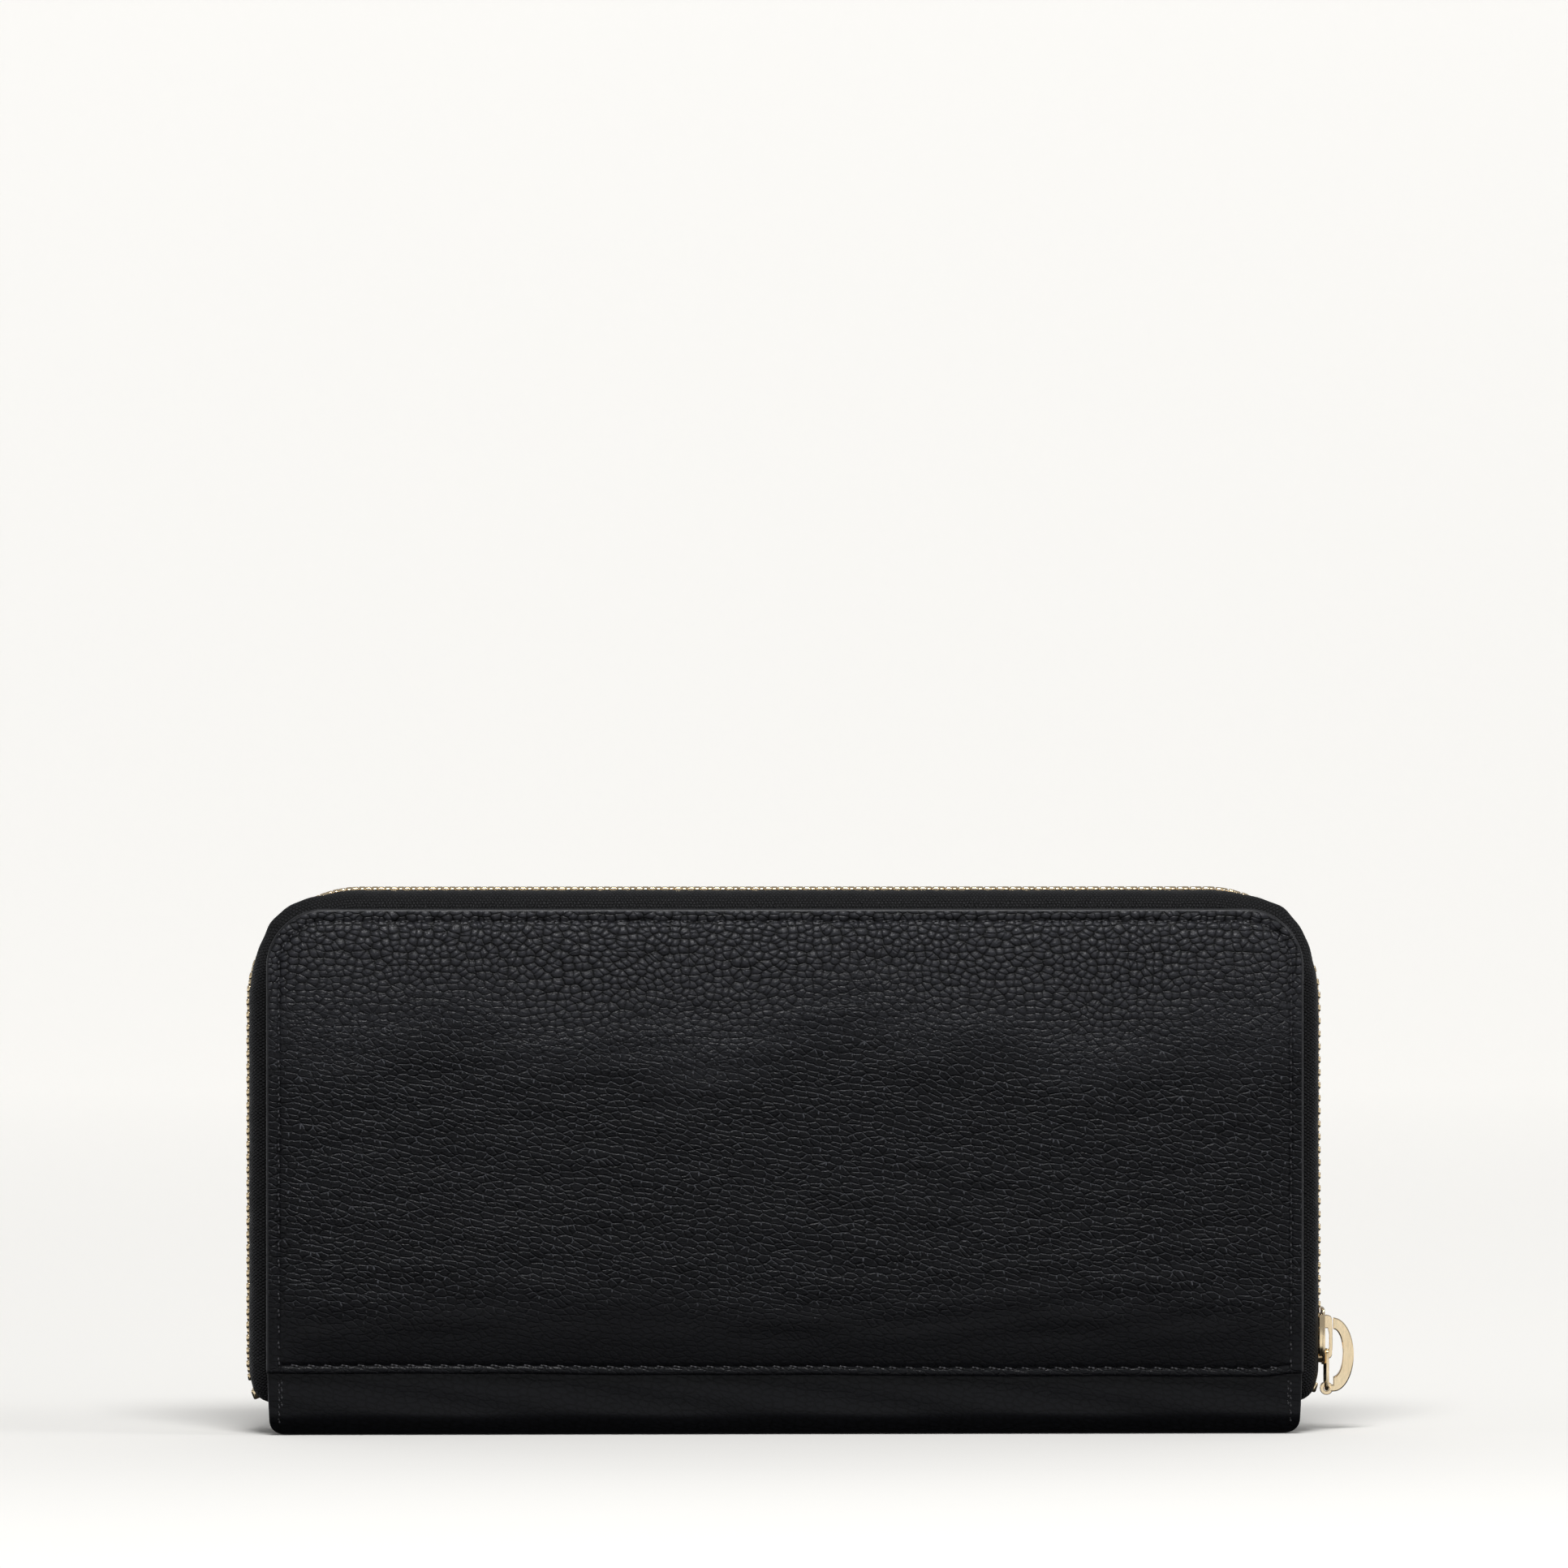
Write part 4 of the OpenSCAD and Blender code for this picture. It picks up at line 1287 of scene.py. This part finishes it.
def bail():
    """The bridge on the slider, with a tall window for the pull's link."""
    low, high = box_mm("zip_slider_bail")
    x0, x1, z0, z1 = low[0], high[0], low[2], high[2]
    shape = [[x0 - 0.2, z0], [x1 - 0.45, z0], [x1, z0 + 0.7]]
    shape += [[x1, z1 - 0.8], [x1 - 0.4, z1], [x0 - 0.2, z1]]
    outer = rounded_outline(shape, 1)
    inner_x, sill, head = x1 - 0.6, z0 + 1.0, z0 + 5.6
    window = rounded_outline([[x0, sill], [inner_x, sill], [inner_x, head], [x0, head]], 1)
    rim = resampled(window, 72)
    centre = window.mean(0)
    ray = rim - centre
    ray /= np.linalg.norm(ray, axis=1)[:, None]
    fine = resampled(outer, 720)
    direction = fine - centre
    direction /= np.linalg.norm(direction, axis=1)[:, None]
    facing = np.array([fine[int(np.argmax(direction @ r))] for r in ray])
    frame_plate = along_y(loop_solid(facing, rim, -high[1], high[1], 0.14))
    return metal("bail", [frame_plate], "zip_slider", ["zip_slider_bail"])


def link():
    """The wire loop between the bail and the pull."""
    low, high = box_mm("pull_link")
    r = 0.4
    x = (low[0] + high[0]) / 2
    y = high[1] - r
    z0, z1 = low[2] + r, high[2] - r
    turns = np.radians(np.linspace(0, 90, 7))
    c = 0.5
    corners = [(y - c, z1 - c, 0), (c - y, z1 - c, 90), (c - y, z0 + c, 180), (y - c, z0 + c, 270)]
    line = []
    for cy, cz, start in corners:
        for t in turns:
            a = math.radians(start) + t
            line.append([x, cy + c * math.cos(a), cz + c * math.sin(a)])
    return metal("link", [wire(line, r, closed=True)], "pull_link", ["pull_link"], 60)


def crescent():
    """The half-moon pull: a flat bow with softly rounded edges and an eye at its lower end."""
    high = box_mm("pull_crescent")[1]
    link_low, link_high = box_mm("pull_link")
    eye_x = (link_low[0] + link_high[0]) / 2
    eye_z = link_low[2] + 0.4
    flat_x = box_mm("zip_slider_bail")[1][0] + 0.15
    foot = eye_z - 0.6
    half = (high[2] - foot) / 2
    mid = foot + half
    width = high[0] - flat_x
    turns = np.radians(np.linspace(-90, 90, 40))
    curve = np.stack([np.cos(turns), np.sin(turns)], 1)
    outer = [flat_x, mid] + curve * [width, half]
    inner = [flat_x, mid + 0.3] + curve[::-1] * [width - 2, half - 2.4]
    heel = [[eye_x + 0.6, foot + 1.25], [eye_x + 0.6, foot]]
    bow = np.concatenate([heel, outer, inner, [[flat_x, foot + 1.25]]])
    t = high[1]
    body = along_y(outline_solid(bow, -t, t, 0.2))
    ring = np.radians(np.arange(40) * 9)
    eye_outer = np.stack([eye_x + 1.2 * np.cos(ring), eye_z + 1.2 * np.sin(ring)], 1)
    eye_inner = np.stack([eye_x + 0.5 * np.cos(ring), eye_z + 0.5 * np.sin(ring)], 1)
    eye_t = t - 0.04
    eye = along_y(loop_solid(eye_outer, eye_inner, -eye_t, eye_t, 0.12))
    return metal("crescent", [body, eye], "pull_crescent", ["pull_crescent"])


def coin_hardware():
    """The coin zip's slider, bail and pull tab."""
    low, high = box_mm("coin_slider_body")
    x0, x1, w = low[0], high[0], high[1]
    across = [1, -1]
    shape = both_sides([[x0, -w + 1.2], [x0 + 1.2, -w], [x1 - 2, -w], [x1, -w + 1.4]], across)
    top = outline_solid(rounded_outline(shape, 2), high[2] - 0.7, high[2], 0.16)
    under_w = 1.7
    shape = [[x0, -under_w], [x1, -under_w], [x1, under_w], [x0, under_w]]
    under = outline_solid(rounded_outline(shape, 2), low[2], low[2] + 0.6, 0.12)
    wedge = [[x0 + 0.4, -0.3], [x0 + 1.2, -0.6], [x0 + 2.4, 0.0], [x0 + 1.2, 0.6], [x0 + 0.4, 0.3]]
    post = outline_solid(rounded_outline(wedge, 1), low[2] + 0.3, high[2] - 0.3, 0.04)
    solids = [top, under, post]
    for side in (FRONT, REAR):
        near, far = w - 0.7, w - 0.05
        lip = np.array([[x0 + 1.4, near], [x1 - 2.2, near], [x1 - 2.2, far], [x0 + 1.4, far]])
        lip = rounded_outline(lip * [1, side], 1)
        solids.append(outline_solid(lip, high[2] - 1.2, high[2] - 0.4, 0.06))
    metal("coin_slider", solids, "coin_slider", ["coin_slider_body"])
    low, high = box_mm("coin_slider_bail")
    x0, x1, foot, top = low[0], high[0], low[2] - 0.2, high[2]
    arch = [[x0, foot], [x0, top - 0.7], [x0 + 0.8, top], [x1 - 0.8, top], [x1, top - 0.7]]
    arch += [[x1, foot], [x1 - 0.8, foot], [x1 - 0.8, top - 1.1], [x1 - 1.2, top - 0.8]]
    arch += [[x0 + 1.2, top - 0.8], [x0 + 0.8, top - 1.1], [x0 + 0.8, foot]]
    solid = along_y(outline_solid(rounded_outline(arch, 1), low[1], high[1], 0.12))
    metal("coin_bail", [solid], "coin_slider", ["coin_slider_bail"])
    low, high = box_mm("coin_pull_tab")
    z, r = (low[2] + high[2]) / 2, (high[2] - low[2]) / 2
    pin_x = low[0] + r
    w = high[1]
    pin = wire([[pin_x, y, z] for y in np.linspace(-1.6, 1.6, 7)], r)
    end = high[0]
    shape = [[pin_x + 5.4, -w + 0.9], [pin_x + 6.4, -w], [end - 1.6, -w], [end, -w + 1.5]]
    shape = both_sides(shape, across)
    solids = [pin, outline_solid(rounded_outline(shape, 2), z - r, z + r, 0.2)]
    back, front = pin_x - r, pin_x + 6.8
    arm = np.array([[back, 1.0], [front, 1.0], [front, 1.6], [back, 1.6]])
    for side in (FRONT, REAR):
        outline = rounded_outline(arm * [1, side], 1)
        solids.append(outline_solid(outline, z - r, z + r, 0.12))
    metal("coin_tab", solids, "coin_pull", ["coin_pull_tab"])


# ---- CAD nodes that stay -------------------------------------------------------------


def dress_cad_nodes():
    """Materials, and softened edges, for the CAD nodes whose shape is already right."""
    finish = {"spine_board": LINING, "coin_pocket_bag": LINING}
    for _, label in COVERS:
        finish[f"{label}_board"] = BOARD
        finish[f"{label}_lining"] = LINING
        finish[f"coin_pocket_{label}_wall"] = INNER_LEATHER
    for name, material in finish.items():
        node = frame["nodes"][name]
        node.data.materials.clear()
        node.data.materials.append(material)
        soften = node.modifiers.new("soft_edges", "BEVEL")
        soften.width = 0.12 * MM
        soften.segments = 2
        soften.limit_method = "ANGLE"
        soften.angle_limit = math.radians(50)


# ---- Studio --------------------------------------------------------------------------


def sweep():
    """A pale floor that curves up into a backdrop a long way behind."""
    half, near, far, radius, height = 4.0, -3.2, 2.6, 0.8, 3.2
    line = [(near, 0.0), (-0.5, 0.0), (0.5, 0.0)]
    for a in np.radians(np.linspace(0, 90, 17)):
        line.append((far - radius + radius * math.sin(a), radius - radius * math.cos(a)))
    line.append((far, height))
    points = [(x / MM, y / MM, z / MM) for y, z in line for x in (-half, half)]
    faces = [(2 * i, 2 * i + 1, 2 * i + 3, 2 * i + 2) for i in range(len(line) - 1)]
    mesh = bpy.data.meshes.new("paper_sweep")
    mesh.from_pydata((np.array(points) * MM).tolist(), [], faces)
    mesh.materials.append(backdrop_material())
    mesh.polygons.foreach_set("use_smooth", np.ones(len(faces), bool))
    floor = bpy.data.objects.new("paper_sweep", mesh)
    OBJECTS.link(floor)
    # Polished and leather surfaces mirror the dim room instead of the bright paper
    floor.visible_glossy = False


def area_light(name, place, target, size, power, tint=(1, 1, 1)):
    data = bpy.data.lights.new(name, "AREA")
    data.shape = "RECTANGLE"
    data.size, data.size_y = size
    data.energy = power
    data.color = tint
    light = bpy.data.objects.new(name, data)
    light.location = place
    light.rotation_euler = (Vector(target) - Vector(place)).to_track_quat("-Z", "Y").to_euler()
    light.visible_camera = False
    OBJECTS.link(light)


def studio():
    """A soft light above and in front, a weaker one at the right, and a room that is palest at
    the horizon, for the metal to mirror."""
    area_light("overhead", (0.0, -0.55, 0.95), (0, 0, 0.05), (0.5, 0.32), 10)
    area_light("right", (0.9, -0.3, 0.7), (0.03, 0, 0.05), (0.3, 0.3), 2.0)
    world = bpy.data.worlds.new("room")
    world.use_nodes = True
    tree = world.node_tree
    background = tree.nodes["Background"]
    background.inputs["Color"].default_value = (0.95, 0.97, 1.0, 1)
    rise = add(tree, "SeparateXYZ", {0: add(tree, "TexCoord").outputs["Generated"]}).outputs[2]
    below = remap(tree, rise, -0.2, -0.1, ROOM_BELOW, ROOM_HORIZON)
    above = remap(tree, rise, -0.02, 0.12, 1.0, ROOM_ABOVE / ROOM_HORIZON)
    tree.links.new(math_node(tree, "MULTIPLY", below, above), background.inputs["Strength"])
    scene = bpy.context.scene
    scene.world = world
    scene.view_settings.view_transform = "Standard"


def camera():
    """Level, a little above the wallet and slightly to its left, as in the photograph."""
    distance, height, turn, span = 1.6, 0.118, math.radians(1.4), 0.284
    data = bpy.data.cameras.new("camera")
    data.sensor_width = 36
    data.lens = data.sensor_width * distance / span
    data.clip_start, data.clip_end = 0.05, 30
    cam = bpy.data.objects.new("camera", data)
    target = Vector((-0.0003, -FACE_Y * MM, height))
    back = Vector((-math.sin(turn), -math.cos(turn), 0))
    cam.location = target + back * distance
    cam.rotation_euler = (-back).to_track_quat("-Z", "Y").to_euler()
    OBJECTS.link(cam)
    bpy.context.scene.camera = cam


# ---- Build ---------------------------------------------------------------------------


for side, label in COVERS:
    cover_panel(side, label)
    cover_stitching(side, label)
    spine_leather(side, label)
    spine_stitching(side, label)
    zip_tape(side, label)
    zip_teeth(side, label)
    zip_stops(side, label)
    for number in (1, 2, 3):
        card_slot(side, label, number)
    for end, end_label in ((-1, "left"), (1, "right")):
        gusset(side, label, end, end_label)
    straight_tape(side, label)
    coin_row(side, label)
    coin_wall_stitching(side, label)
coin_stops()
slider()
bail()
link()
crescent()
coin_hardware()
dress_cad_nodes()
sweep()
studio()
camera()
